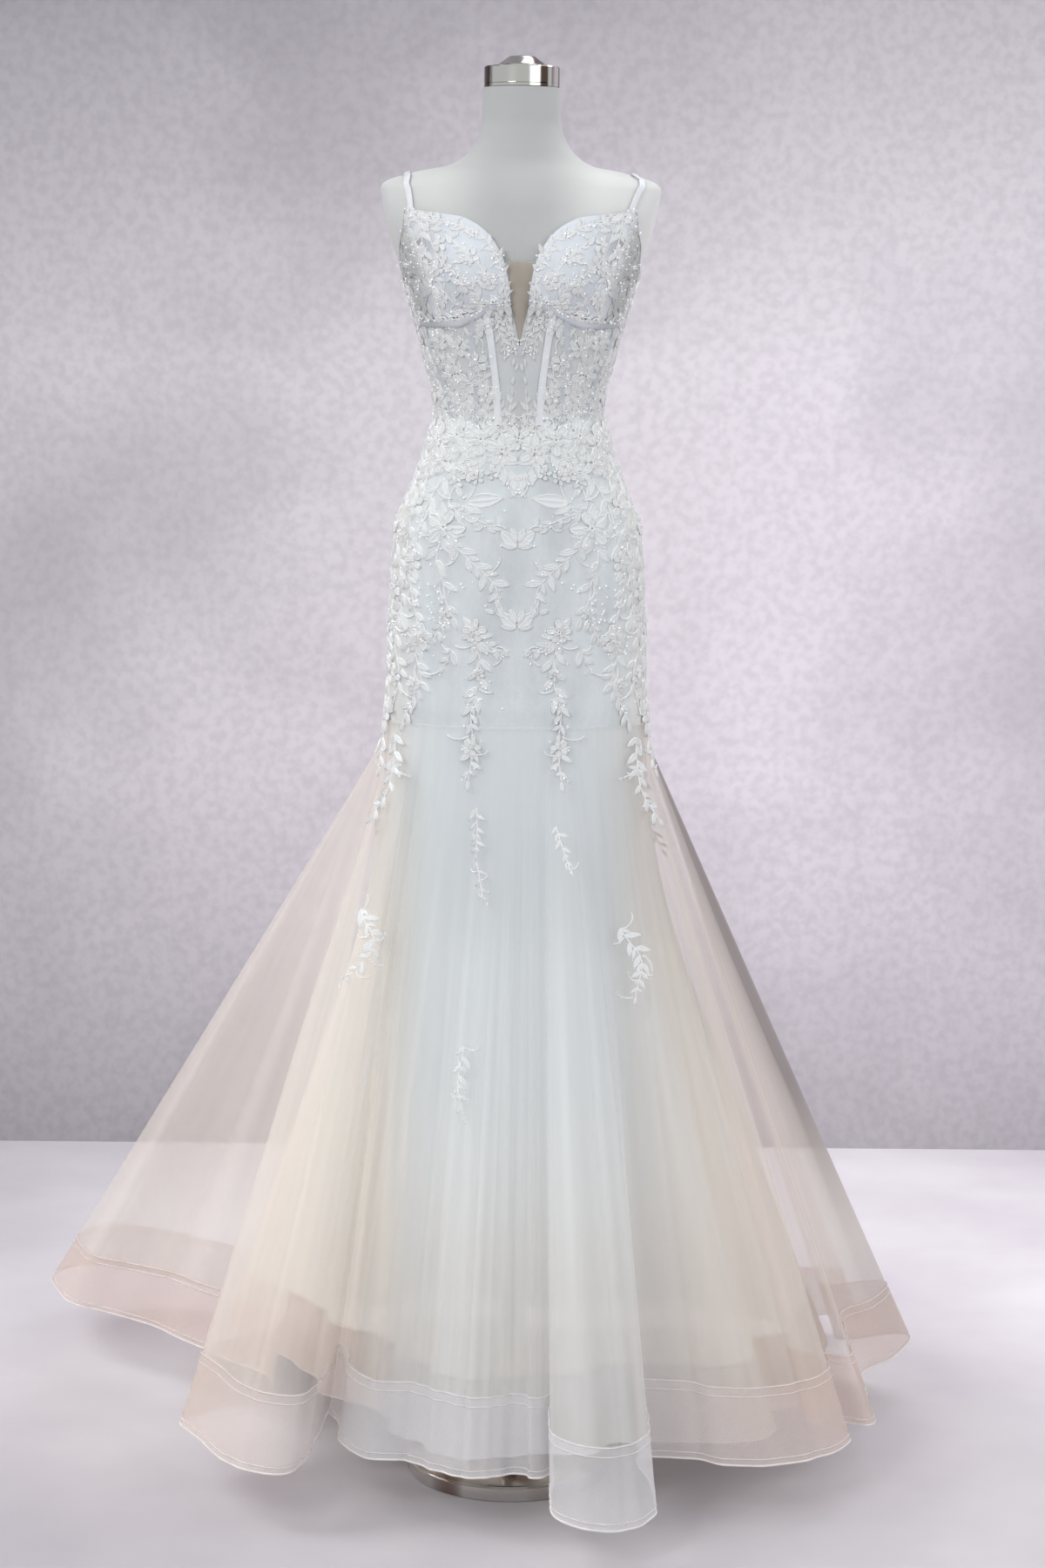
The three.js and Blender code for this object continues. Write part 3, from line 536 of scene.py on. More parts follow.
def piece(name, points, faces, material, slot, replaces=(), uv=None, angle=None):
    """Mesh object from points in millimetres, riding on the one body."""
    mesh = bpy.data.meshes.new(name)
    mesh.from_pydata((np.asarray(points) * MM).tolist(), [], np.asarray(faces).tolist())
    if uv is not None:
        layer = mesh.uv_layers.new(name="cloth")
        corners = np.empty(len(mesh.loops), np.int32)
        mesh.loops.foreach_get("vertex_index", corners)
        layer.data.foreach_set("uv", (np.asarray(uv) * MM)[corners].ravel())
    mesh.shade_smooth()
    if angle is not None:
        mesh.set_sharp_from_angle(angle=math.radians(angle))
    mesh.materials.append(MATERIALS[material].made)
    made = add(name, mesh)
    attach(made, "root")
    if replaces:
        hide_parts(*replaces)
    return made


def grid_faces(wide, lines, ring=False, flip=False):
    """Quads of a grid of lines + 1 rows with wide points each."""
    i, j = np.meshgrid(np.arange(wide if ring else wide - 1), np.arange(lines))
    a, b = (j * wide + i).ravel(), (j * wide + (i + 1) % wide).ravel()
    quads = np.stack([a, a + wide, b + wide, b], -1)
    return quads[:, ::-1] if flip else quads


def grid_uv(points):
    """Flat position of each point of a grid (lines, columns, 3), in millimetres along the cloth."""
    across = np.linalg.norm(np.diff(points, axis=1), axis=2)
    down = np.linalg.norm(np.diff(points, axis=0), axis=2)
    u = np.concatenate([np.zeros((len(points), 1)), np.cumsum(across, 1)], 1).mean(0)
    v = np.concatenate([np.zeros((1, points.shape[1])), np.cumsum(down, 0)], 0)
    return np.stack([np.broadcast_to(u, v.shape), -v], -1).reshape(-1, 2)


def shell(name, points, material, slot, replaces, flip=False):
    """Thin cloth shell from a grid of points (lines, columns, 3)."""
    faces = grid_faces(points.shape[1], len(points) - 1, flip=flip)
    return piece(name, points.reshape(-1, 3), faces, material, slot, replaces, grid_uv(points))


def store(made, **values):
    """Keeps a value a point for the materials."""
    for name, value in values.items():
        share = made.data.attributes.new(name, "FLOAT", "POINT")
        share.data.foreach_set("value", np.asarray(value, float).ravel())


def angles_of(points):
    """How far round from the centre front the points are, from 0 to 180."""
    return np.degrees(np.arctan2(np.abs(points[..., 0]), -points[..., 1]))


def lathe(name, node, segments, material, profile):
    """Turned chrome piece in place of a node, closed on the axis at both ends.

    The profile is (radius, height) pairs, from the radius, foot and head of the node's box.
    """
    low, high = (np.array(corner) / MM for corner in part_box(node))
    pairs = profile(high[0], low[2], high[2])
    turn = np.linspace(0, 2 * np.pi, segments, endpoint=False)
    radius, height = np.array(pairs, float).T
    points = np.stack(np.broadcast_arrays(radius[:, None] * np.cos(turn),
                                          radius[:, None] * np.sin(turn), height[:, None]), -1)
    faces = grid_faces(segments, len(pairs) - 1, ring=True, flip=True)
    piece(name, points.reshape(-1, 3), faces, material, "chrome", [node], angle=35)


def loop_cord(points, normals, radius, flat):
    """Points and faces of a cord round a closed line; flat below 1 presses it to the cloth."""
    sides = 6
    across = unit(np.cross(unit(np.roll(points, -1, 0) - np.roll(points, 1, 0)), normals))
    turn = np.linspace(0, 2 * np.pi, sides, endpoint=False)
    loops = (points[:, None] + radius * (np.cos(turn)[:, None] * across[:, None]
                                         + flat * np.sin(turn)[:, None] * normals[:, None]))
    faces = np.roll(grid_faces(sides, len(points), ring=True, flip=True), 1, -1)
    return loops.reshape(-1, 3), faces % (sides * len(points))


def joined(parts):
    """One list of points and one of faces from several."""
    points, faces, total = [], [], 0
    for some_points, some_faces in parts:
        points.append(np.asarray(some_points))
        faces.extend((np.asarray(some_faces) + total).tolist())
        total += len(some_points)
    return np.concatenate(points), faces


# ---- display form --------------------------------------------------------------------------
def make_form():
    heights = np.concatenate([np.linspace(FORM_BOTTOM + 14, 1640, 90),
                              np.linspace(1644, NECK_TOP, 50)])
    turns = np.linspace(-180, 180, 181)[:-1]
    body = skin(turns[None, :], heights[:, None], -SET_BACK)
    foot = body[0] * [0.93, 0.93, 0] + [0, 0, FORM_BOTTOM]
    rings = np.concatenate([foot[None] * [0.02, 0.02, 1], foot[None], body,
                            body[-1:] * [0.02, 0.02, 1]])
    points = rings.reshape(-1, 3)
    around = np.broadcast_to(turns * 2.6, rings.shape[:2])       # 2.6 mm of linen to a degree
    uv = np.stack([around, rings[..., 2]], -1).reshape(-1, 2)
    faces = grid_faces(len(turns), len(rings) - 1, ring=True, flip=True)
    made = piece("display_torso", points, faces, "linen", "linen", ["form_torso"], uv, 50)
    x = points[:, 0]
    # Painted light on the linen: lighter towards the sides, more towards +X.
    store(made, tone=smooth(25, 105, x) + 0.6 * smooth(25, 105, -x))

    lathe("chrome_base", "base_disc", 128, "chrome_foot", lambda radius, foot, head: [
        (0.01, 0), (radius - 3, 0), (radius - 0.8, 0.9), (radius, 3), (radius, head - 8),
        (radius - 1.6, head - 6), (radius - 5, head - 4.2), (radius - 22, head - 2.2),
        (96, head - 1), (40, head), (0.01, head)])
    lathe("chrome_pole", "pole", 48, "chrome_foot", lambda radius, foot, head: [
        (0.01, foot), (22, foot), (22, foot + 11), (21, foot + 13), (12.5, foot + 20),
        (12.5, head - 14), (20, head - 8), (20, head), (0.01, head)])
    lathe("chrome_collar", "neck_collar", 96, "chrome", lambda radius, foot, head: [
        (0.01, foot), (radius - 1, foot), (radius, foot + 1), (radius, foot + 4),
        (radius - 0.7, foot + 4.6), (radius, foot + 5.2), (radius, head - 1.5),
        (radius - 1.5, head), (0.01, head)])
    lathe("chrome_cap", "neck_cap", 96, "chrome", lambda radius, foot, head: [
        (0.01, foot), (37.5, foot), (37.5, foot + 0.8), (30, foot + 2), (28.8, foot + 2.6),
        (17, foot + 11), (15.4, foot + 12), (0.01, foot + 13.5)])


# ---- bodice --------------------------------------------------------------------------------
def wrinkle(angle, z):
    """Soft uneven creases of the fitted cloth, in millimetres outwards."""
    rows = [  # angle, height, half width in degrees and in mm, slant, depth
        (58, 1398, 16, 4.0, 0.5, 0.7), (-62, 1404, 14, 4.5, -0.5, 0.8),
        (80, 1388, 14, 3.5, 0.2, -0.6), (-84, 1392, 16, 3.5, -0.2, -0.6),
        (30, 1180, 12, 5.0, 1.6, 0.6), (-34, 1150, 14, 6.0, -1.8, 0.7),
        (66, 1090, 12, 5.0, 1.4, 0.7), (-70, 1060, 12, 5.0, -1.4, -0.6),
        (112, 1390, 16, 4.0, 0.3, 0.8), (-118, 1398, 18, 4.0, -0.3, 0.8),
        (140, 1420, 14, 4.5, -0.4, -0.7), (-144, 1440, 14, 4.5, 0.4, 0.7),
        (150, 1120, 14, 6.0, -1.2, 0.8), (-152, 1090, 14, 6.0, 1.2, 0.8)]
    rise = np.zeros(np.broadcast(angle, z).shape)
    for centre, height, wide, tall, slant, depth in rows:
        away = (angle - centre + 180) % 360 - 180
        rise = rise + depth * np.exp(-(away / wide) ** 2
                                     - ((z - height - slant * away) / tall) ** 2)
    return rise


def hip_out(z):
    """The hip cloth closes in on the sheath at its lower edge, so no step shows."""
    return PANEL_FACE - 2.2 * smooth(1016, HIP_HEM - 4, z)


def centre_back(z):
    return 180 + 0 * z


def seamed(side, start, end, top, bottom, columns, lines):
    """Grid of a panel between two seams and two edges, a little short of them all."""
    inset = 0.3
    edge = inset * 0.42              # the same in degrees
    across = np.linspace(0, 1, columns)[None, :]
    down = np.linspace(0, 1, lines)[:, None]
    angle = start(1500.0) + (end(1500.0) - start(1500.0)) * across + 0 * down
    for _ in range(6):
        z = (top(angle) - inset) + (bottom(angle) - top(angle) + 2 * inset) * down
        angle = start(z) + edge + (end(z) - start(z) - 2 * edge) * across
    angle = side * angle
    return skin(angle, z, PANEL_FACE + wrinkle(angle, z))


def cup_grid(side):
    """The padded cup, from the side of the plunge to the side seam."""
    across = np.linspace(0, 1, 44)[None, :]
    down = np.linspace(0, 1, 30)[:, None]
    stops = np.array([angle for angle, _ in NECKLINE if angle < 70] + [70.3])
    high = np.interp(across, np.linspace(0, 1, len(stops)), stops)
    low = PLUNGE_MOUTH + (side_seam(1500.0) - PLUNGE_MOUTH) * across
    z = neckline(high) + (underbust(low) + 1.2 - neckline(high)) * down
    angle = high + (low - high) * down
    angle = np.minimum(angle, side_seam(z) - 0.15)
    rolled = 3.0 * (1 - np.minimum(1, np.minimum(down, 1 - down) / 0.09)) ** 2
    ruched = 0.7 * np.sin(angle * 2.1 + 8 * down) * smooth(0.8, 0.97, down)
    return skin(side * angle, z, CUP_FACE - rolled + ruched)


def ribbon(name, width, place, count, out, material, slot, replaces, crown, waves=0.0):
    """Ribbon along a line of the body: its middle stands up by crown, its edges by waves."""
    t = np.linspace(0, 1, count)
    angle, z = place(t)
    middle = skin(angle, z, out)
    ahead = unit(np.gradient(middle, axis=0))
    normal = unit(skin(angle, z, out + 1) - middle)
    across = unit(np.cross(ahead, normal))
    q = np.linspace(-1, 1, 7)
    rise = crown * (1 - q ** 4)[None, :] + waves * (
        np.sin(np.arange(count) * 1.7)[:, None] * (np.abs(q) > 0.6)[None, :])
    points = (middle[:, None] + across[:, None] * (q * width / 2)[None, :, None]
              + normal[:, None] * rise[..., None])
    return shell(name, points, material, slot, replaces)


def make_bodice():
    z = PLUNGE[0][0] + (PLUNGE[-1][0] - PLUNGE[0][0]) * np.linspace(0, 1, 30)[:, None]
    across = np.linspace(-1, 1, 15)[None, :]
    sag = 1.2 * (1 - across ** 2)
    shell("nude_plunge", skin(across * plunge_edge(z), z, CLEAR + 1 + sag * 0.4),
                      "nude", "nude_mesh", ["plunge_insert"])

    top_reach, waist_reach = 17.8, 15        # angles of the inner seam, near enough
    stop = np.linspace(-1, 1, 61)[None, :]
    off, mouth = np.abs(stop), PLUNGE_MOUTH / top_reach
    plunge = (PLUNGE_POINT
              + (underbust(PLUNGE_MOUTH) - PLUNGE_POINT) * np.clip(off / mouth, 0, 1))
    top = np.where(off < mouth, plunge, underbust(off * top_reach)) - 0.3
    z = top + (waist(off * waist_reach) + 0.3 - top) * np.linspace(0, 1, 40)[:, None]
    shell("sheer_centre", skin(stop * (inner_seam(z) - 0.1), z, PANEL_FACE),
                      "sheer", "sheer", ["bodice_centre"])
    for word, side in SIDES:
        cup_points = cup_grid(side)
        cup = shell(f"cup_shell_{word}", cup_points, "cup", "lace", [f"cup_{word}"], side < 0)
        # Darker towards the cup's outer side: partly the net over the form, partly painted shade.
        store(cup, tone=smooth(100, 124, np.abs(cup_points[..., 0]))
              * smooth(1606, 1580, cup_points[..., 2]))

        def fold(t):
            angle = 6.5 + 61 * t
            return side * angle, underbust(angle) - 2
        gathers = ribbon(f"under_cup_fold_{word}", 12, fold, 70, PANEL_FACE + 1.2, "cup", "lace",
                         (), crown=2.6, waves=0.5)
        # Painted shade along the under-cup fold, darker towards the side.
        store(gathers, tone=np.repeat(0.3 + 0.5 * smooth(0.5, 0.8, np.linspace(0, 1, 70)), 7))
        for title, material, slot, start, end, top in (
                ("front", "sheer", "sheer", inner_seam, side_seam, underbust),
                ("side", "side_net", "lace", side_seam, back_seam, neckline),
                ("back", "side_net", "lace", back_seam, centre_back, neckline)):
            grid = seamed(side, start, end, top, waist, 30, 40)
            panel = shell(f"{slot}_{title}_{word}", grid, material, slot,
                          [f"bodice_{title}_{word}"], side < 0)
            if slot == "lace":
                store(panel, tone=smooth(60, 100, angles_of(grid)))

        def channel(title, seam, high, low, satin="veiled_satin"):
            def place(t):
                height = high + (low - high) * t
                return side * seam(height), height
            ribbon(f"{title}_channel_{word}", CHANNEL_WIDTH, place, 40, PANEL_FACE + 1.0, satin,
                   "satin", [f"{title}_{word}"], crown=0.9, waves=0.12)
        channel("bone_inner", inner_seam, 1504, 1364, "satin")
        channel("bone_outer", outer_bone, 1497, 1366)
        channel("bone_side", side_seam, 1484, 1370)
        channel("bone_back", back_bone, 1530, 1380)

        rows = np.array(STRAP_FRONT[word] + STRAP_BACK, float)

        def strap(t):
            at = t * (len(rows) - 1)
            return (side * np.interp(at, range(len(rows)), rows[:, 0]),
                    np.interp(at, range(len(rows)), rows[:, 1]))
        ribbon(f"strap_satin_{word}", STRAP_WIDTH, strap, 90, CLEAR + 0.4, "satin", "satin",
               [f"strap_{word}"], crown=0.7)


def make_zip():
    def tape(t):
        return centre_back(t), ZIP_TOP + (ZIP_BOTTOM - ZIP_TOP) * t
    ribbon("zip_tape", ZIP_WIDTH, tape, 120, PANEL_FACE + 0.9, "satin", "satin", ["back_zip"],
           crown=0.6)
    parts = []
    heights = np.arange(ZIP_TOP - 8, ZIP_BOTTOM + 4, -2.4)         # a tooth every 2.4 mm
    box = np.array([(x, y, z) for x in (-1, 1) for y in (0, 1) for z in (-1, 1)], float)
    box_faces = [(0, 1, 3, 2), (4, 6, 7, 5), (0, 4, 5, 1), (2, 3, 7, 6), (0, 2, 6, 4),
                 (1, 5, 7, 3)]
    for k, z in enumerate(heights):
        face = skin(180, z, PANEL_FACE + 1.5)
        shift = 0.9 if k % 2 else -0.9
        parts.append((box * [1.5, 1.2, 0.8] + face + [shift, 0, 0], box_faces))
    slider = skin(180, ZIP_TOP - 4, PANEL_FACE + 1.6)
    parts.append((box * [3.4, 3.2, 5.5] + slider, box_faces))
    parts.append((box * [2.0, 1.4, 11] + slider + [0, 3.2, -12], box_faces))
    points, faces = joined(parts)
    piece("zip_teeth_and_slider", points, faces, "teeth", "satin", angle=30)


# ---- hips ----------------------------------------------------------------------------------
def make_hips():
    foot = HIP_HEM - 4
    angle = np.linspace(-90, 90, 91)[None, :] + np.zeros((70, 1))
    top = waist(np.abs(angle)) - 0.3
    z = top + (foot - top) * np.linspace(0, 1, 70)[:, None]
    aside = smooth(50, 75, np.abs(angle))
    front = skin(angle, z, hip_out(z) * (1 - aside) + PANEL_FACE * aside + wrinkle(angle, z))
    made = [shell("hip_cloth_front", front, "ground", "lace", ["hip_front"])]
    store(made[0], tone=smooth(60, 84, angles_of(front)))
    for word, side in SIDES:
        grid = seamed(side, lambda z: 90 + 0 * z, centre_back, waist,
                      lambda angle: foot + 0 * angle, 50, 70)
        made.append(shell(f"hip_cloth_back_{word}", grid, "ground", "lace",
                          [f"hip_back_{word}"], side < 0))
        store(made[-1], tone=smooth(60, 84, angles_of(grid)))


# ---- flare ---------------------------------------------------------------------------------
def gather_share(flare, creases, u, v):
    """How much denser the net looks where it bunches: on fine pleats and at the side seams."""
    step = 0.0009                            # about 4 mm along the outer hem, each way
    slope = (creases(u + step, v) - creases(u - step, v)) / (2 * step * flare.length)
    pleats = np.clip(np.abs(slope) * 0.35, 0, 0.12)
    angle = np.abs(flare.hip_angle(u % 1))
    return pleats + 0.14 * smooth(0.22, 0.0, v) * smooth(62, 80, angle)


def cloth_values(made, flare, creases, u, v, warm_foot=0.45):
    """Stores where the cloth bunches, how warm it looks, and painted shade: low at the front, on the +X
    side and on the fold that turns edge-on.
    """
    u, v = np.broadcast_arrays(u, v)
    angle = flare.hip_angle(u % 1)
    aside = smooth(28, 78, np.abs(angle))            # 0 in front, 1 at the sides and behind
    # Painted shade, not a colour of the net: darker low at the front and on the +X side.
    painted_low_shade = 0.15 * smooth(0.55, 0.85, v) * (1 - 0.7 * aside)
    painted_side_shade = 0.12 * smooth(10, 60, angle) * smooth(170, 100, angle)
    shade = painted_low_shade + painted_side_shade
    dense = gather_share(flare, creases, u, v)
    if flare is outer:
        # Painted shade on the fold that turns edge-on and beside it, where the net is also denser.
        edge = (smooth(0.019, 0.011, np.abs(u - DARK_FOLD)) * smooth(0.02, 0.1, v)
                * (1 - 0.75 * smooth(0.45, 0.85, v)))
        beside = (0.6 * smooth(0.05, 0.02, np.abs(u - DARK_FOLD + 0.022)) * smooth(0.02, 0.08, v)
                  * smooth(0.6, 0.15, v))
        shade = np.minimum(1, shade + edge + beside)
        dense = dense + 0.02 + 0.6 * edge + 0.6 * beside
    else:
        dense = dense + 0.32 - 0.04 * aside
    store(made, gather=dense, shade=shade,
          tone=np.minimum(1, aside + warm_foot * smooth(0.35, 0.95, v)))


def make_flare(name, flare, creases, columns, lines, material, replaces):
    u = np.linspace(0, 1, columns + 1)[None, :]
    v = np.concatenate([np.linspace(0, 0.12, lines // 4, endpoint=False),
                        np.linspace(0.12, 1, lines - lines // 4 + 1)])[:, None]
    points = flare.at(u, v, 0, creases)
    made = shell(name, points, material, "tulle", replaces)
    cloth_values(made, flare, creases, u, v)


def slant_of(flare, u):
    """How long the cloth is from the hips to the hem, in millimetres."""
    return np.linalg.norm(flare.smooth_point(u, 0.9) - flare.smooth_point(u, 1), axis=-1) * 10


def hem_line(flare, creases, columns, height, out, radius, flat):
    """Cord that runs round the flare at a height above its hem."""
    u = np.linspace(0, 1, columns, endpoint=False)
    v = 1 - height / slant_of(flare, u)
    return loop_cord(flare.at(u, v, out, creases), flare.normal(u, v), radius, flat)


def make_band(name, flare, creases, columns, replaces):
    u = np.linspace(0, 1, columns + 1)[None, :]
    v = 1 - (BAND_HEIGHT / slant_of(flare, u)) * (1 - np.linspace(0, 1, 12)[:, None])
    points = flare.at(u, v, BAND_OUT, creases)
    made = shell(name, points, "band", "horsehair", replaces)
    cloth_values(made, flare, creases, u, v, 0)


def make_skirt():
    make_flare("tulle_top_layer", outer, outer_creases, 1060, 44, "tulle_outer",
               [f"tulle_outer_{k}" for k in range(1, 9)])
    make_flare("tulle_inner_layer", inner, inner_creases, 620, 36, "tulle_inner",
               [f"tulle_inner_{k}" for k in range(1, 5)])
    make_band("horsehair_outer", outer, outer_creases, 742, ["hem_band_outer"])
    make_band("horsehair_inner", inner, inner_creases, 434, ["hem_band_inner"])
    on_outer, on_inner = (outer, outer_creases, 1060), (inner, inner_creases, 620)
    lines = joined([
        hem_line(*on_outer, 0, 0.6, 1.5, 1), hem_line(*on_outer, 8, 1.8, 0.6, 0.6),
        hem_line(*on_outer, BAND_HEIGHT - 2, 1.9, 0.7, 0.6),
        hem_line(*on_outer, BAND_HEIGHT - 13, 1.9, 0.6, 0.6),
        hem_line(*on_inner, 0, 0.6, 1.3, 1), hem_line(*on_inner, BAND_HEIGHT - 2, 1.9, 0.6, 0.6)])
    piece("hem_cords", *lines, "edge", "horsehair")

    half, front, back = (column(LINING["z"], LINING[key]) for key in ("half", "front", "back"))
    turn = np.linspace(-180, 180, 181)[None, :]
    z = np.linspace(LINING["z"][0] + 10, LINING["z"][-1], 50)[:, None]
    sine, cosine = np.sin(np.radians(turn)), np.cos(np.radians(turn))
    folds = 2.5 * np.sin(np.radians(turn) * 19 + 0.6) * smooth(960, 500, z)
    x = (half(z) + folds) * sine
    y = -(np.where(cosine > 0, front(z), back(z)) + folds) * cosine
    grid = np.stack([x, y, z + 0 * turn], -1)
    made = shell("lining_sheath", grid, "lining", "satin",
                 ["skirt_lining_front", "skirt_lining_back"])


# ---- lace ----------------------------------------------------------------------------------
def leaf(length, width, bend=0.0, relief=2.0, round_tip=False):
    """Leaf along +Y from the origin: a raised cord round low net, and a raised vein.

    The points are x, y, rise and 1 on cord or 0 on net.
    """
    t = np.array([0, 0.06, 0.2, 0.4, 0.62, 0.82, 0.95, 1.0])
    shape = np.sin(np.pi * t ** (1.35 if round_tip else 0.85)) ** (0.55 if round_tip else 0.8)
    half = np.maximum(width / 2 * shape, 0.3)[:, None]
    rim, vein = np.minimum(1.9, half * 0.5), np.minimum(0.7, half * 0.3)
    x = np.concatenate([-half, -half + 0.45 * rim, -half + rim, -vein, 0 * half, vein, half - rim,
                        half - 0.45 * rim, half], 1)
    rise = relief * np.array([-0.2, 1.0, 0.25, 0.35, 0.75, 0.35, 0.25, 1.0, -0.2])
    corded = np.array([1, 1, 0.3, 0, 1, 0, 0.3, 1, 1])
    painted_falloff = ((t < 0.1) | (t > 0.9))[:, None]
    x = x + bend * length * (t ** 2)[:, None]
    points = np.broadcast_arrays(x, (t * length)[:, None], rise * np.minimum(1, half / 1.6),
                                 np.maximum(corded, painted_falloff))
    return np.stack(points, -1).reshape(-1, 4), grid_faces(9, 7)


CORD_WIDTH, CORD_RISE, STEM_RISE, NET_RISE = 1.6, 1.8, 1.2, 0.35
LEAN, PAIRED, TAPER = 42, 0.4, 0.35    # of leaves on a branch: degrees, share, loss to its end


BOTH, ONE = (1, -1), (1,)              # sides that a motif is laid on


def curl(length, bend):
    """Loose cord from the origin that curves through an angle as it goes."""
    heading = np.radians(90 + bend * np.linspace(0, 1, 9))
    along = np.stack([np.cumsum(np.cos(heading)), np.cumsum(np.sin(heading))], -1) * (length / 8)
    aside = np.stack([-np.sin(heading), np.cos(heading)], -1) * CORD_WIDTH
    edges = [(-0.5, -0.2), (-0.25, 0.9), (0.25, 0.9), (0.5, -0.2)]
    points = [np.concatenate([along - aside * offset, np.full((9, 1), rise * CORD_RISE),
                              np.ones((9, 1))], 1) for offset, rise in edges]
    return np.stack(points, 1).reshape(-1, 4), grid_faces(4, 8)


def dome(radius, height):
    """Knot of a flower's centre, all of it cord."""
    turn = np.linspace(0, 2 * np.pi, 6, endpoint=False)
    rings = [(radius, -0.2), (radius * 0.75, height * 0.7), (0.05, height)]
    points = [(r * math.cos(a), r * math.sin(a), h, 1) for r, h in rings for a in turn]
    return np.array(points), grid_faces(6, 2, ring=True, flip=True)


def turned(points, degrees, lift):
    """A motif turned about its origin and raised."""
    a = math.radians(degrees)
    x, y, rise, cord = points.T
    return np.stack([x * math.cos(a) - y * math.sin(a), x * math.sin(a) + y * math.cos(a),
                     rise + lift, cord], -1)


def flower(radius, petals, chance):
    """Open flower: uneven corded petals that overlap, and a knotted centre.

    A large one has smaller petals inside.
    """
    large = 16
    parts = []

    def ring(count, reach, size, wide, lift):
        first = chance.uniform(0, 360)
        for k in range(count):
            long = size * chance.uniform(0.82, 1.15)
            points, faces = leaf(long, size * wide * chance.uniform(0.85, 1.1),
                                 chance.uniform(-0.14, 0.14), 2.2, True)
            heading = first + 360 / count * k + chance.uniform(-9, 9)
            parts.append((turned(points + [0, reach, 0, 0], heading, lift + 0.25 * (k % 2)),
                          faces))
    ring(petals, radius * 0.1, radius * 0.88, 0.72, 0.3)
    if radius > large:
        ring(petals - 1, radius * 0.05, radius * 0.42, 0.7, 1.5)
    for k in range(5):
        points, faces = dome(radius * 0.09, 1.4)
        a = math.radians(72 * k)
        parts.append((points + [radius * 0.12 * math.cos(a), radius * 0.12 * math.sin(a), 1.9, 0],
                      faces))
    return joined(parts)


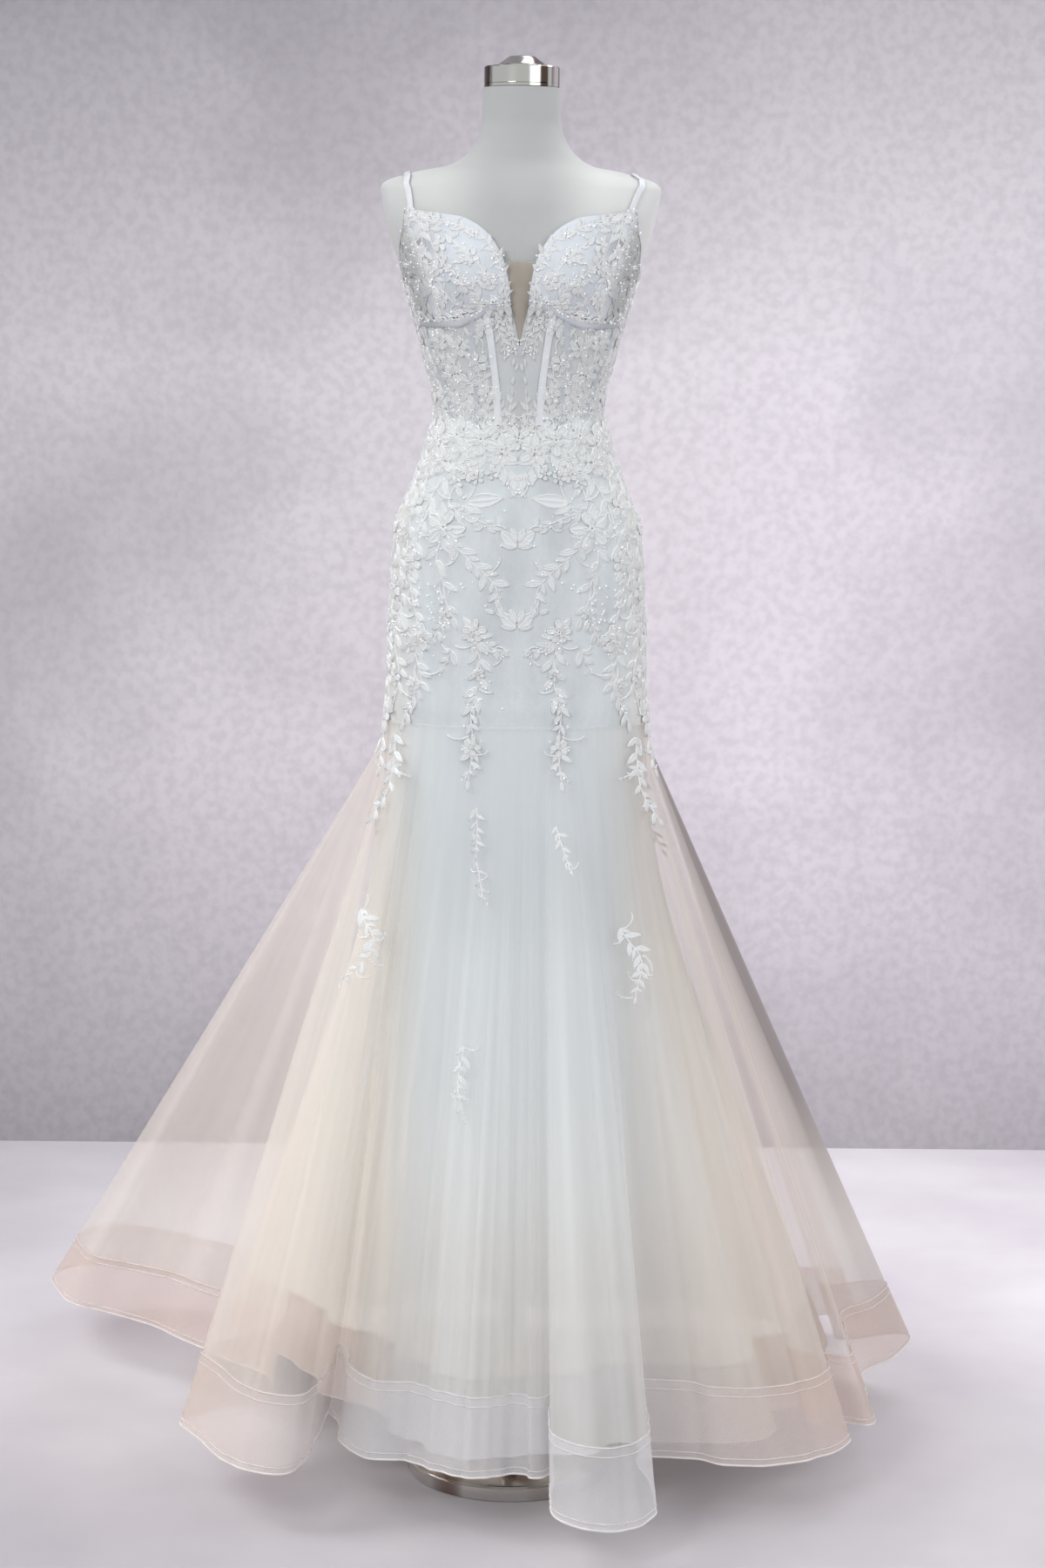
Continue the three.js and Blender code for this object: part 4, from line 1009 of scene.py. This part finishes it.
class Lace:
    """Motifs laid on the gown, gathered into one mesh.

    Places are angles and heights on the gown, on the +X side, and headings are degrees on the
    cloth, with 0 to the right and 90 up. Sides are 1 for that side and -1 for its mirror.
    """

    def __init__(self, seed, relief=1.0):
        self.parts, self.motifs, self.beads, self.relief = [], [], [], relief
        self.chance = random.Random(seed)

    def lay(self, motif, angle, z, heading, side, lift=0.0):
        """Puts a motif at an angle and height, turned so that its +Y goes along the heading."""
        points, faces = motif
        local = turned(points * [1, 1, self.relief, 1], heading - 90, lift)
        if side < 0:
            local = local * [-1, 1, 1, 1]
            faces = np.asarray(faces)[:, ::-1]
        self.motifs.append((local, faces, side * angle, z))

    def walk(self, places, step):
        """Evenly spaced places and headings on a smooth line of (angle, height)."""
        places = np.array(places, float)
        t = np.linspace(0, 1, len(places))
        fine = np.linspace(0, 1, 200)
        angle, z = (column(t, places[:, k])(fine) for k in (0, 1))
        gaps = np.linalg.norm(np.diff(gown(angle, z, 0), axis=0), axis=1)
        walked = np.concatenate([[0], np.cumsum(gaps)])
        at = np.linspace(0, walked[-1], max(2, int(walked[-1] / step) + 1))
        angle, z = np.interp(at, walked, angle), np.interp(at, walked, z)
        frames = cloth_frames(angle, z)
        ahead = np.stack([np.gradient(angle), np.gradient(z)], -1)
        run = np.einsum("nij,nj->ni", frames, ahead)
        return angle, z, np.degrees(np.arctan2(run[:, 1], run[:, 0])), frames

    def stem(self, places, side):
        """Raised cord along a line."""
        angle, z, headings, frames = self.walk(places, 6)
        normal = np.radians(headings + 90)
        aside = np.stack([np.cos(normal), np.sin(normal)], -1) * CORD_WIDTH
        move = np.linalg.solve(frames, aside[..., None])[..., 0]
        edges = [(-0.5, -0.2), (-0.3, 0.8), (0.3, 0.8), (0.5, -0.2)]
        points = np.stack([np.stack([side * (angle + move[:, 0] * offset),
                                     z + move[:, 1] * offset,
                                     np.full(len(z), rise * STEM_RISE * self.relief),
                                     np.ones(len(z))], -1)
                           for offset, rise in edges], 1).reshape(-1, 4)
        self.parts.append((points, grid_faces(4, len(angle) - 1, flip=side < 0)))

    def lay_each(self, motif, angle, z, heading, sides=BOTH, lift=0.0):
        for side in sides:
            self.lay(motif, angle, z, heading, side, lift)

    def branch(self, places, size, pitch, sides=BOTH, curls=0.3, beads=0.35):
        """Stem with leaves on alternate sides, some in pairs, loose curling cords and beads."""
        angle, z, headings, _ = self.walk(places, pitch)
        chance = self.chance
        for side in sides:
            self.stem(places, side)
        for k in range(len(angle)):
            scale = (1 - TAPER * k / max(1, len(angle) - 1)) * chance.uniform(0.8, 1.15)
            hand = 1 if k % 2 else -1
            turn = LEAN * hand + chance.uniform(-12, 12)
            if k == len(angle) - 1:
                turn = chance.uniform(-8, 8)
            at = (angle[k], z[k])
            self.lay_each(leaf(size[0] * scale, size[1] * scale, chance.uniform(-0.15, 0.15)),
                          *at, headings[k] + turn, sides)
            if chance.random() < PAIRED:
                small = scale * chance.uniform(0.6, 0.85)
                self.lay_each(leaf(size[0] * small, size[1] * small, chance.uniform(-0.2, 0.2)),
                              *at, headings[k] - turn + chance.uniform(-10, 10), sides)
            if chance.random() < curls:
                self.lay_each(curl(size[0] * chance.uniform(0.7, 1.3), chance.uniform(60, 150)
                                   * chance.choice((-1, 1))),
                              *at, headings[k] - 55 * hand, sides, 0.3)
            if chance.random() < beads:
                self.glitter(*at, chance.randint(1, 3), 9, sides)

    def glitter(self, angle, z, count, spread, sides=BOTH):
        """A few beads strewn round a place, over a spread in millimetres."""
        per_degree = 2.7
        for _ in range(count):
            away = (self.chance.uniform(-spread, spread) / per_degree,
                    self.chance.uniform(-spread, spread))
            self.beads += [(side * (angle + away[0]), z + away[1]) for side in sides]

    def bloom(self, angle, z, radius, leaves=0, petals=5, sides=BOTH):
        """Flower, with larger leaves that come out from under it."""
        chance = self.chance
        for k in range(leaves):
            heading = 250 + 200 * (k + 0.5) / leaves + chance.uniform(-22, 22)
            size = chance.uniform(1.15, 1.4) * radius
            self.lay_each(leaf(size, size * 0.42, chance.uniform(-0.15, 0.15)), angle, z,
                          heading, sides, 0.1)
        self.lay_each(flower(radius, petals, chance), angle, z, chance.uniform(0, 72), sides, 0.5)
        self.glitter(angle, z, 2, radius, sides)

    def scatter(self, count, angles, heights, size, spin=60):
        """Small leaves strewn over an area, upright to within an angle."""
        for _ in range(count):
            angle, z = self.chance.uniform(*angles), self.chance.uniform(*heights)
            scale = self.chance.uniform(0.7, 1.2)
            motif = leaf(size[0] * scale, size[1] * scale, self.chance.uniform(-0.3, 0.3))
            heading = 90 + self.chance.uniform(-spin, spin)
            for side in BOTH:
                self.lay(motif, angle, z, heading, side, self.chance.uniform(0, 0.6))

    def gathered(self):
        """All the points, as angle, height and rise above the cloth, and all the faces."""
        angle, z = (np.array([motif[k] for motif in self.motifs], float) for k in (2, 3))
        inverse = np.linalg.inv(cloth_frames(angle, z))
        laid = []
        for (local, faces, a, height), square in zip(self.motifs, inverse):
            turn, climb = square @ local[:, :2].T
            laid.append((np.stack([a + turn, height + climb, local[:, 2], local[:, 3]], -1),
                         faces))
        return joined(self.parts + laid)

    def finish(self, name, replaces=(), limit=None, grey=lambda angle: 0 * angle):
        """One piece of all the motifs, no higher than limit(angle) and greyer by grey(angle)."""
        points, faces = self.gathered()
        if limit is not None:
            points[:, 1] = np.minimum(points[:, 1], limit(np.abs(points[:, 0])))
        world = gown(points[:, 0], points[:, 1], points[:, 2] + NET_RISE)
        made = piece(name, world, faces, "lace", "lace", replaces)
        store(made, cord=points[:, 3], grey=grey(np.abs(points[:, 0])))


# Vines on the +X side, mirrored to the other: line of (angle, height), leaf's length and
# width, and pitch of the leaves.
HIP_VINES = [
    ([(3, 1358), (20, 1356), (42, 1360)], (24, 10), 15),
    ([(5, 1334), (22, 1326), (46, 1336), (62, 1332)], (28, 12), 15),
    ([(46, 1360), (66, 1356), (90, 1358)], (24, 10), 15),
    ([(60, 1322), (74, 1317), (90, 1322)], (26, 11), 14),
    ([(24, 1314), (38, 1306), (56, 1311)], (24, 10), 14),
    ([(11, 1322), (7, 1308), (1, 1290)], (25, 10), 12),
    ([(36, 1290), (38, 1270), (31, 1258), (20, 1249), (12, 1240)], (18, 7), 12),
    ([(36, 1232), (30, 1216), (21, 1196), (13, 1178), (9, 1162), (8, 1146)], (26, 10.5), 14),
    ([(38, 1226), (40, 1200), (36, 1176), (34, 1150), (30, 1128)], (25, 10), 13),
    ([(46, 1298), (52, 1262), (54, 1222), (58, 1182), (54, 1146), (50, 1116)], (26, 10.5), 14),
    ([(62, 1316), (66, 1276), (62, 1236), (68, 1192), (64, 1150), (70, 1112)], (26, 10.5), 14),
    ([(76, 1320), (80, 1270), (75, 1222), (82, 1170), (77, 1120), (82, 1066), (79, 1004)],
     (26, 10.5), 14),
    ([(88, 1330), (91, 1280), (87, 1230), (92, 1180), (88, 1130), (92, 1080), (89, 1016)], (23, 9), 14),
    ([(19, 1106), (13, 1093), (7, 1087)], (20, 8), 9),
    ([(19, 1098), (16, 1070), (17, 1042), (20, 1010), (19, 984)], (25, 10), 11),
    ([(34, 1128), (38, 1107), (42, 1092)], (18, 7), 10),
    ([(48, 1112), (51, 1080), (47, 1050), (53, 1018), (58, 994)], (24, 9.5), 11),
    ([(66, 1130), (70, 1090), (64, 1050), (70, 1012)], (26, 10.5), 14),
    ([(30, 1086), (34, 1066)], (18, 8), 9)]
# Flowers: angle, height, radius, leaves under it, and petals where they aren't five.
HIP_BLOOMS = [
    (24, 1346, 24, 3), (42, 1350, 26, 3, 6), (60, 1344, 24, 3), (78, 1348, 22, 2),
    (10, 1334, 20, 2), (31, 1322, 15, 1), (50, 1318, 18, 3), (15, 1305, 10, 0), (23, 1299, 9, 0),
    (30, 1304, 11, 0), (36, 1293, 10, 0), (37, 1238, 26, 5), (55, 1196, 15, 3), (62, 1262, 16, 3),
    (80, 1304, 17, 3), (72, 1160, 15, 3), (88, 1240, 17, 3), (86, 1112, 15, 3), (19, 1111, 17, 4),
    (48, 1100, 17, 4), (34, 1130, 9, 0), (69, 1050, 13, 3), (52, 1040, 10, 2), (17, 1058, 9, 0)]
BACK_VINES = [
    ([(96, 1354), (112, 1348), (130, 1353), (150, 1349), (172, 1354)], (25, 10), 11),
    ([(100, 1326), (120, 1320), (142, 1324), (166, 1320)], (24, 10), 12),
    ([(100, 1316), (106, 1270), (100, 1220), (108, 1165), (102, 1110), (107, 1050), (103, 1004)],
     (23, 9.5), 13),
    ([(126, 1316), (122, 1280), (130, 1240), (124, 1196), (130, 1150)], (23, 9.5), 13),
    ([(150, 1316), (154, 1280), (146, 1244), (152, 1204), (146, 1160), (150, 1110)], (23, 9.5), 13),
    ([(170, 1310), (164, 1286), (168, 1256), (164, 1226)], (21, 8.5), 12),
    ([(134, 1110), (138, 1070), (132, 1030), (136, 1002)], (23, 9), 12),
    ([(164, 1150), (158, 1110), (164, 1066), (160, 1020)], (23, 9), 12),
    ([(118, 1120), (114, 1080), (120, 1040)], (22, 9), 12)]
BACK_BLOOMS = [
    (104, 1347, 20, 3), (128, 1343, 21, 3), (154, 1345, 20, 3), (116, 1250, 19, 4),
    (142, 1224, 20, 4, 6), (162, 1188, 17, 4), (112, 1140, 18, 4), (138, 1108, 18, 4),
    (120, 1040, 15, 3), (166, 1120, 14, 3), (100, 1200, 15, 3)]
BODICE_VINES = [
    ([(5, 1354), (6, 1378), (4.4, 1400)], (17, 6), 9),
    ([(11, 1354), (12, 1380), (15, 1402)], (18, 6.5), 9),
    ([(19, 1356), (20, 1384), (23, 1412), (21, 1434)], (20, 8), 12),
    ([(27, 1357), (29, 1390), (26, 1424), (30, 1456), (27, 1484)], (23, 9), 13),
    ([(35, 1358), (38, 1396), (44, 1436), (40, 1478)], (23, 9), 13),
    ([(44, 1360), (45, 1400), (51, 1440), (49, 1484)], (23, 9), 13),
    ([(54, 1362), (52, 1400), (58, 1444), (57, 1484)], (23, 9), 13),
    ([(63, 1366), (66, 1410), (65, 1450), (69, 1490), (72, 1536)], (23, 9), 13),
    ([(75, 1367), (73, 1412), (79, 1456), (76, 1500), (80, 1540)], (23, 9), 14),
    ([(86, 1368), (84, 1420), (90, 1470), (86, 1534)], (23, 9), 14),
    ([(99, 1370), (103, 1420), (97, 1470), (101, 1534)], (23, 9), 14),
    ([(116, 1370), (112, 1420), (120, 1470), (115, 1528)], (23, 9), 14),
    ([(132, 1370), (136, 1420), (130, 1470), (135, 1524)], (23, 9), 14),
    ([(147, 1372), (144, 1430), (149, 1480), (146, 1520)], (23, 9), 14),
    ([(161, 1372), (166, 1420), (160, 1470), (165, 1514)], (23, 9), 14),
    ([(8.5, 1500), (6.6, 1484), (4.4, 1470), (2.6, 1456)], (13, 5), 7),
    ([(13, 1502), (12, 1482), (9, 1466), (8.5, 1450)], (16, 6), 9),
    ([(23, 1496), (26, 1474), (33, 1458)], (19, 7.5), 9)]
BODICE_BLOOMS = [
    (20, 1482, 12, 2), (13, 1490, 8, 0), (26, 1440, 14, 2), (22, 1400, 13, 2), (34, 1416, 15, 2),
    (38, 1458, 15, 2), (32, 1380, 15, 2), (48, 1424, 15, 2), (53, 1466, 15, 2), (44, 1390, 14, 2),
    (64, 1440, 15, 2), (60, 1396, 14, 2), (70, 1496, 15, 2), (78, 1404, 15, 2), (80, 1460, 15, 2),
    (93, 1486, 15, 2), (96, 1424, 15, 2), (110, 1450, 15, 2), (124, 1400, 15, 2),
    (126, 1500, 15, 2), (146, 1468, 15, 2), (154, 1400, 15, 2), (108, 1390, 14, 2),
    (168, 1440, 13, 2)]
CUP_VINES = [
    ([(9.5, 1574), (14, 1592), (24, 1604), (36, 1609)], (15, 6), 9),
    ([(7.6, 1520), (8, 1548), (10.4, 1574)], (13, 5), 8),
    ([(8, 1512), (14, 1514), (24, 1505), (36, 1494), (50, 1492), (64, 1494)], (18, 7.5), 8),
    ([(48.5, 1621), (51, 1592), (57, 1556), (60, 1516)], (19, 8), 10),
    ([(42, 1618), (43, 1580), (48, 1548), (46, 1510)], (19, 8), 11),
    ([(30, 1613), (38, 1616), (47, 1620)], (16, 6), 9),
    ([(20, 1524), (28, 1544), (36, 1566), (38, 1596)], (16, 6), 11),
    ([(14, 1530), (18, 1556), (26, 1584)], (15, 6), 11),
    ([(53, 1600), (60, 1570), (65, 1540), (66, 1504)], (19, 8), 10),
    ([(30, 1504), (38, 1524), (42, 1548)], (16, 6), 10)]
CUP_BLOOMS = [
    (48, 1558, 14, 3), (28, 1536, 13, 2), (57, 1526, 14, 3), (42, 1520, 13, 3), (20, 1566, 11, 2),
    (33, 1582, 11, 2), (15, 1542, 10, 2), (52, 1586, 12, 2), (22, 1516, 11, 2), (62, 1556, 12, 2),
    (38, 1554, 11, 2), (64, 1512, 12, 2)]
SKIRT_SIDE_VINES = [
    [(80, 1016), (83, 972), (80, 930)], [(98, 1008), (96, 978), (99, 950)],
    [(117, 1020), (114, 980), (118, 945)], [(137, 1004), (133, 960), (137, 925)],
    [(156, 1020), (160, 962), (154, 906), (158, 868)], [(173, 1000), (169, 956), (172, 912)],
    [(106, 1004), (108, 968)], [(147, 1010), (145, 966), (148, 935)]]
# Sprays on the outer tulle, each on its own side.
LOW_VINES = [
    ([(17, 872), (19, 846), (21, 822)], (15, 5), 9),
    ([(-58, 760), (-52, 720), (-56, 680)], (22, 8), 11),
    ([(44, 740), (49, 700), (47, 656)], (22, 8), 10),
    ([(-12, 600), (-13, 560), (-11, 516)], (20, 7), 11)]
LOW_VINES += [([(start, 900), (start + 3, 860), (start - 1, 800)], (22, 8), 10)
              for start in (150, 118, -124, -158)]


def lay_all(lace, vines, blooms, curls=0.3):
    """Lays a table of vines and a table of flowers, on both sides."""
    for places, size, pitch in vines:
        lace.branch(places, size, pitch, curls=curls)
    for bloom in blooms:
        lace.bloom(*bloom)


def make_lace():
    cups = Lace(11, 0.6)
    lay_all(cups, CUP_VINES, CUP_BLOOMS, 0.4)
    cups.scatter(60, (10, 66), (1504, 1600), (13, 5), spin=180)
    cups.scatter(80, (46, 70), (1496, 1604), (17, 6.5))
    for angle, z in ((20, 1580), (26, 1552), (34, 1534), (46, 1566), (54, 1540), (14, 1520)):
        cups.glitter(angle, z, 4, 14)
    # The lace greys on the outer cups: partly the net over the form, partly painted shade.
    cups.finish("lace_cups", ["applique_cup_left", "applique_cup_right"], neckline,
                lambda angle: smooth(44, 56, angle))

    bodice = Lace(23, 0.75)
    lay_all(bodice, BODICE_VINES, BODICE_BLOOMS, 0.5)
    bodice.scatter(26, (36, 68), (1368, 1484), (17, 6.5))
    bodice.scatter(50, (68, 176), (1368, 1528), (17, 6.5))
    for height, angle in ((1446, 3), (1440, 1.2), (1424, 3.4)):
        bodice.lay_each(leaf(11, 4), angle, height, 280)
    for z, long, heading in ((1524, 8, 150), (1536, 7, 200), (1548, 11, 130), (1558, 8, 160),
                             (1567, 14, 115)):
        for side in BOTH:
            start = float(plunge_edge(z)) + bodice.chance.uniform(0.2, 1.0)
            bodice.lay(leaf(long * bodice.chance.uniform(0.8, 1.15), long * 0.38, 0.1), start,
                       z + bodice.chance.uniform(-3, 3), heading, side, 0.5)
    for start, z, long, heading, lift in ((6, 1513, 17, 268, 4), (9, 1513, 17, 285, 4),
                                          (7.5, 1515, 18, 262, 4.5), (12, 1513, 18, 250, 3.5),
                                          (16, 1511, 18, 270, 3), (5.6, 1500, 13, 262, 2)):
        bodice.lay_each(leaf(long, long * 0.4, 0.1), start, z, heading, lift=lift)
    bodice.bloom(9, 1517, 10)
    bodice.glitter(24, 1430, 5, 26)
    bodice.glitter(4, 1462, 5, 14)
    bodice.finish("lace_bodice", grey=lambda angle: 0.3 + 0 * angle)

    hips = Lace(37)
    lay_all(hips, HIP_VINES, HIP_BLOOMS)
    for side in BOTH:
        hips.lay(leaf(46, 18, 0.06), 27, 1270, 176, side)
        hips.lay(leaf(24, 9), 28, 1266, 205, side)
        hips.lay(curl(30, -60), 29, 1268, 150, side, 0.3)
        for foot in (1216, 1116):
            hips.lay(leaf(29, 15, -0.1), 0.2, foot, 38, side)
            hips.lay(leaf(20, 9), 0.4, foot + 6, 66, side, 0.4)
            hips.lay(leaf(18, 7), 1, foot - 1, 12, side, 0.2)
            hips.lay(leaf(14, 6), 8, foot + 24, 70, side)
            hips.lay(leaf(13, 5.5), 10, foot + 18, 20, side)
        hips.lay(leaf(27, 12, -0.08), 0.2, 1284, 62, side)
    hips.bloom(0, 1348, 17, sides=ONE)
    for angle, z, count, spread in ((33, 1152, 5, 15), (15, 1036, 7, 13), (30, 1272, 3, 12),
                                    (41, 1132, 8, 13), (24, 1170, 4, 14), (46, 1166, 5, 17),
                                    (58, 1090, 5, 12), (10, 1196, 4, 24)):
        hips.glitter(angle, z, count, spread)
    hips.scatter(40, (60, 92), (1000, 1330), (15, 6))
    sprays = [f"applique_{name}_{word}" for name in ("waist", "hip", "front", "side")
              for word in ("left", "right")]
    hips.finish("lace_hips", sprays + ["applique_centre"])

    seat = Lace(41, 0.8)
    lay_all(seat, BACK_VINES, BACK_BLOOMS)
    seat.finish("lace_seat")

    skirt = Lace(51)
    for places in SKIRT_SIDE_VINES:
        skirt.branch(places, (23, 9), 12)
    for angle, z, radius in ((80, 1000, 14), (99, 990, 14), (117, 1000, 15), (137, 985, 14),
                             (157, 1000, 14), (173, 985, 12)):
        skirt.bloom(angle, z, radius, 3)
    skirt.branch([(19, 972), (19, 946), (19.5, 926)], (21, 8), 11)
    skirt.bloom(19, 966, 12, 3)
    skirt.branch([(65, 974), (62, 946), (60, 912), (66, 872)], (22, 8.5), 10, beads=0.6)
    skirt.branch([(61, 936), (56, 930), (51, 926)], (14, 5), 9)
    skirt.branch([(-14.8, 892), (-14, 866), (-13.5, 836)], (17, 5.5), 8, ONE)
    skirt.branch([(-13, 826), (-11, 800), (-10, 784)], (13, 4), 9, ONE)
    skirt.finish("lace_skirt")

    low = Lace(67, 0.5)
    for places, size, pitch in LOW_VINES:
        low.branch(places, size, pitch, ONE)
    low.finish("lace_on_tulle")

    beads = [place for lace in (cups, bodice, hips, seat, skirt) for place in lace.beads]
    chance = random.Random(5)
    beads += [(side * chance.uniform(5, 90), chance.uniform(1000, 1330))
              for _ in range(30) for side in BOTH]
    centres = gown(*np.array(beads).T, 1.8)
    ball, ball_faces = bead_ball()
    # Each bead is 1 to 1.7 mm in radius.
    piece("beads", *joined([(ball * chance.uniform(1.0, 1.7) + centre, ball_faces)
                            for centre in centres]), "pearl", "lace")


def bead_ball():
    """Ball 1 mm in radius, with flattened poles."""
    turn = np.linspace(0, 2 * np.pi, 6, endpoint=False)
    rings = [(0.05, -1), (0.87, -0.5), (0.87, 0.5), (0.05, 1)]
    points = [(r * math.cos(a), h, r * math.sin(a)) for r, h in rings for a in turn]
    return np.array(points), grid_faces(6, 3, ring=True)


# ---- stage, light and camera ---------------------------------------------------------------
WALL_DISTANCE, WALL_REACH, WALL_TOP, FLOOR_REACH = 1.57, 7, 5, 9
BODY_MIDDLE = (0, 0, 0.95)


def make_stage():
    floor = MATERIALS["floor"] = Material("floor_pale", (240, 233, 243), 0.7)
    marbled = floor.patchy((230, 223, 232), (255, 251, 255), 2.2, 7)
    # Painted shade: the floor darkens towards -X and towards the camera, where the light falls off.
    floor.darker(marbled, floor.multiply(floor.range(floor.axis("X"), 0.7, 1, -1.2, 0.8),
                                         floor.range(floor.axis("Y"), 0.5, 1, -1.2, 0.9)))
    wall = MATERIALS["wall"] = Material("wall_plaster", (238, 231, 242), 0.9)
    patches = wall.multiply(wall.range(wall.noise(1.4, 9), 0.5, 1, 0.34, 0.56),
                            wall.range(wall.noise(60, 5), 0.78, 1, 0.36, 0.6))
    plaster = wall.blend(patches, (186, 180, 190), (249, 243, 251))
    # Painted shade: the wall darkens towards its top, its foot and the -X side, where the light falls
    # off.
    painted_falloff = wall.multiply(wall.range(wall.axis("Z"), 1, 0.52, 1.4, 2.2),
                         wall.range(wall.axis("Z"), 0.6, 1, 0.0, 0.7))
    wall.darker(plaster, wall.multiply(painted_falloff, wall.range(wall.axis("X"), 0.72, 1, -1.4, 0.5)))
    # The wall is clear from behind, so that the gown's back can be looked at.
    clear = wall.node("BsdfTransparent").outputs["BSDF"]
    behind = wall.node("NewGeometry").outputs["Backfacing"]
    mixed = wall.node("MixShader", {"Fac": behind, 1: wall.shader.outputs["BSDF"], 2: clear})
    wall.tree.links.new(mixed.outputs["Shader"],
                        wall.tree.nodes["Material Output"].inputs["Surface"])
    square = ((-1, 0), (1, 0), (1, 1), (-1, 1))
    sheets = {"floor": [(FLOOR_REACH * x, FLOOR_REACH * (2 * y - 1), 0) for x, y in square],
              "wall": [(WALL_REACH * x, WALL_DISTANCE, WALL_TOP * z) for x, z in square]}
    for name, corners in sheets.items():
        mesh = bpy.data.meshes.new(name)
        mesh.from_pydata(corners, [], [(0, 1, 2, 3)])
        mesh.materials.append(MATERIALS[name].made)
        add(name, mesh)


def make_light():
    world = bpy.data.worlds.new("studio")
    bpy.context.scene.world = world
    world.use_nodes = True
    background = world.node_tree.nodes["Background"]
    background.inputs["Color"].default_value = srgb(228, 230, 232)
    background.inputs["Strength"].default_value = 0.7
    for name, place, size, power, target, spread in (
            ("key", (-2.2, -3.6, 3.4), 1.5, 65, BODY_MIDDLE, 180),
            ("fill", (2.8, -3.2, 2.0), 2.4, 28, BODY_MIDDLE, 180),
            ("left", (-3.0, 0.3, 3.2), 2.0, 9, (-0.5, 0, 0.2), 50),
            ("right", (3.0, 0.5, 3.2), 2.0, 22, BODY_MIDDLE, 180),
            ("back", (1.0, 1.3, 3.4), 1.6, 22, BODY_MIDDLE, 180)):
        light = bpy.data.lights.new(name, "AREA")
        light.energy, light.size, light.spread = power, size, math.radians(spread)
        made = add(name, light)
        made.location = place
        aim = Vector(target) - Vector(place)
        made.rotation_euler = aim.to_track_quat("-Z", "Y").to_euler()


def make_camera():
    """Camera 4 m in front of the gown at eye height, tilted down as in a standing photograph."""
    camera = bpy.data.cameras.new("camera")
    camera.lens, camera.sensor_width, camera.sensor_fit = 73.08, 36, "AUTO"
    made = add("camera", camera)
    tilt, roll, pan = math.radians(90 - 8.94), math.radians(0.56), math.radians(-0.132)
    eye = (0, -4.0, 1.536)
    made.matrix_world = (Matrix.Translation(eye) @ Matrix.Rotation(pan, 4, "Z")
                         @ Matrix.Rotation(tilt, 4, "X") @ Matrix.Rotation(roll, 4, "Z"))
    bpy.context.scene.camera = made


make_camera()
make_form()
make_bodice()
make_zip()
make_hips()
make_skirt()
make_lace()
make_stage()
make_light()
bpy.context.scene.cycles.transparent_max_bounces = 40
bpy.context.scene.cycles.max_bounces = 8
bpy.context.scene.view_settings.view_transform = "Standard"
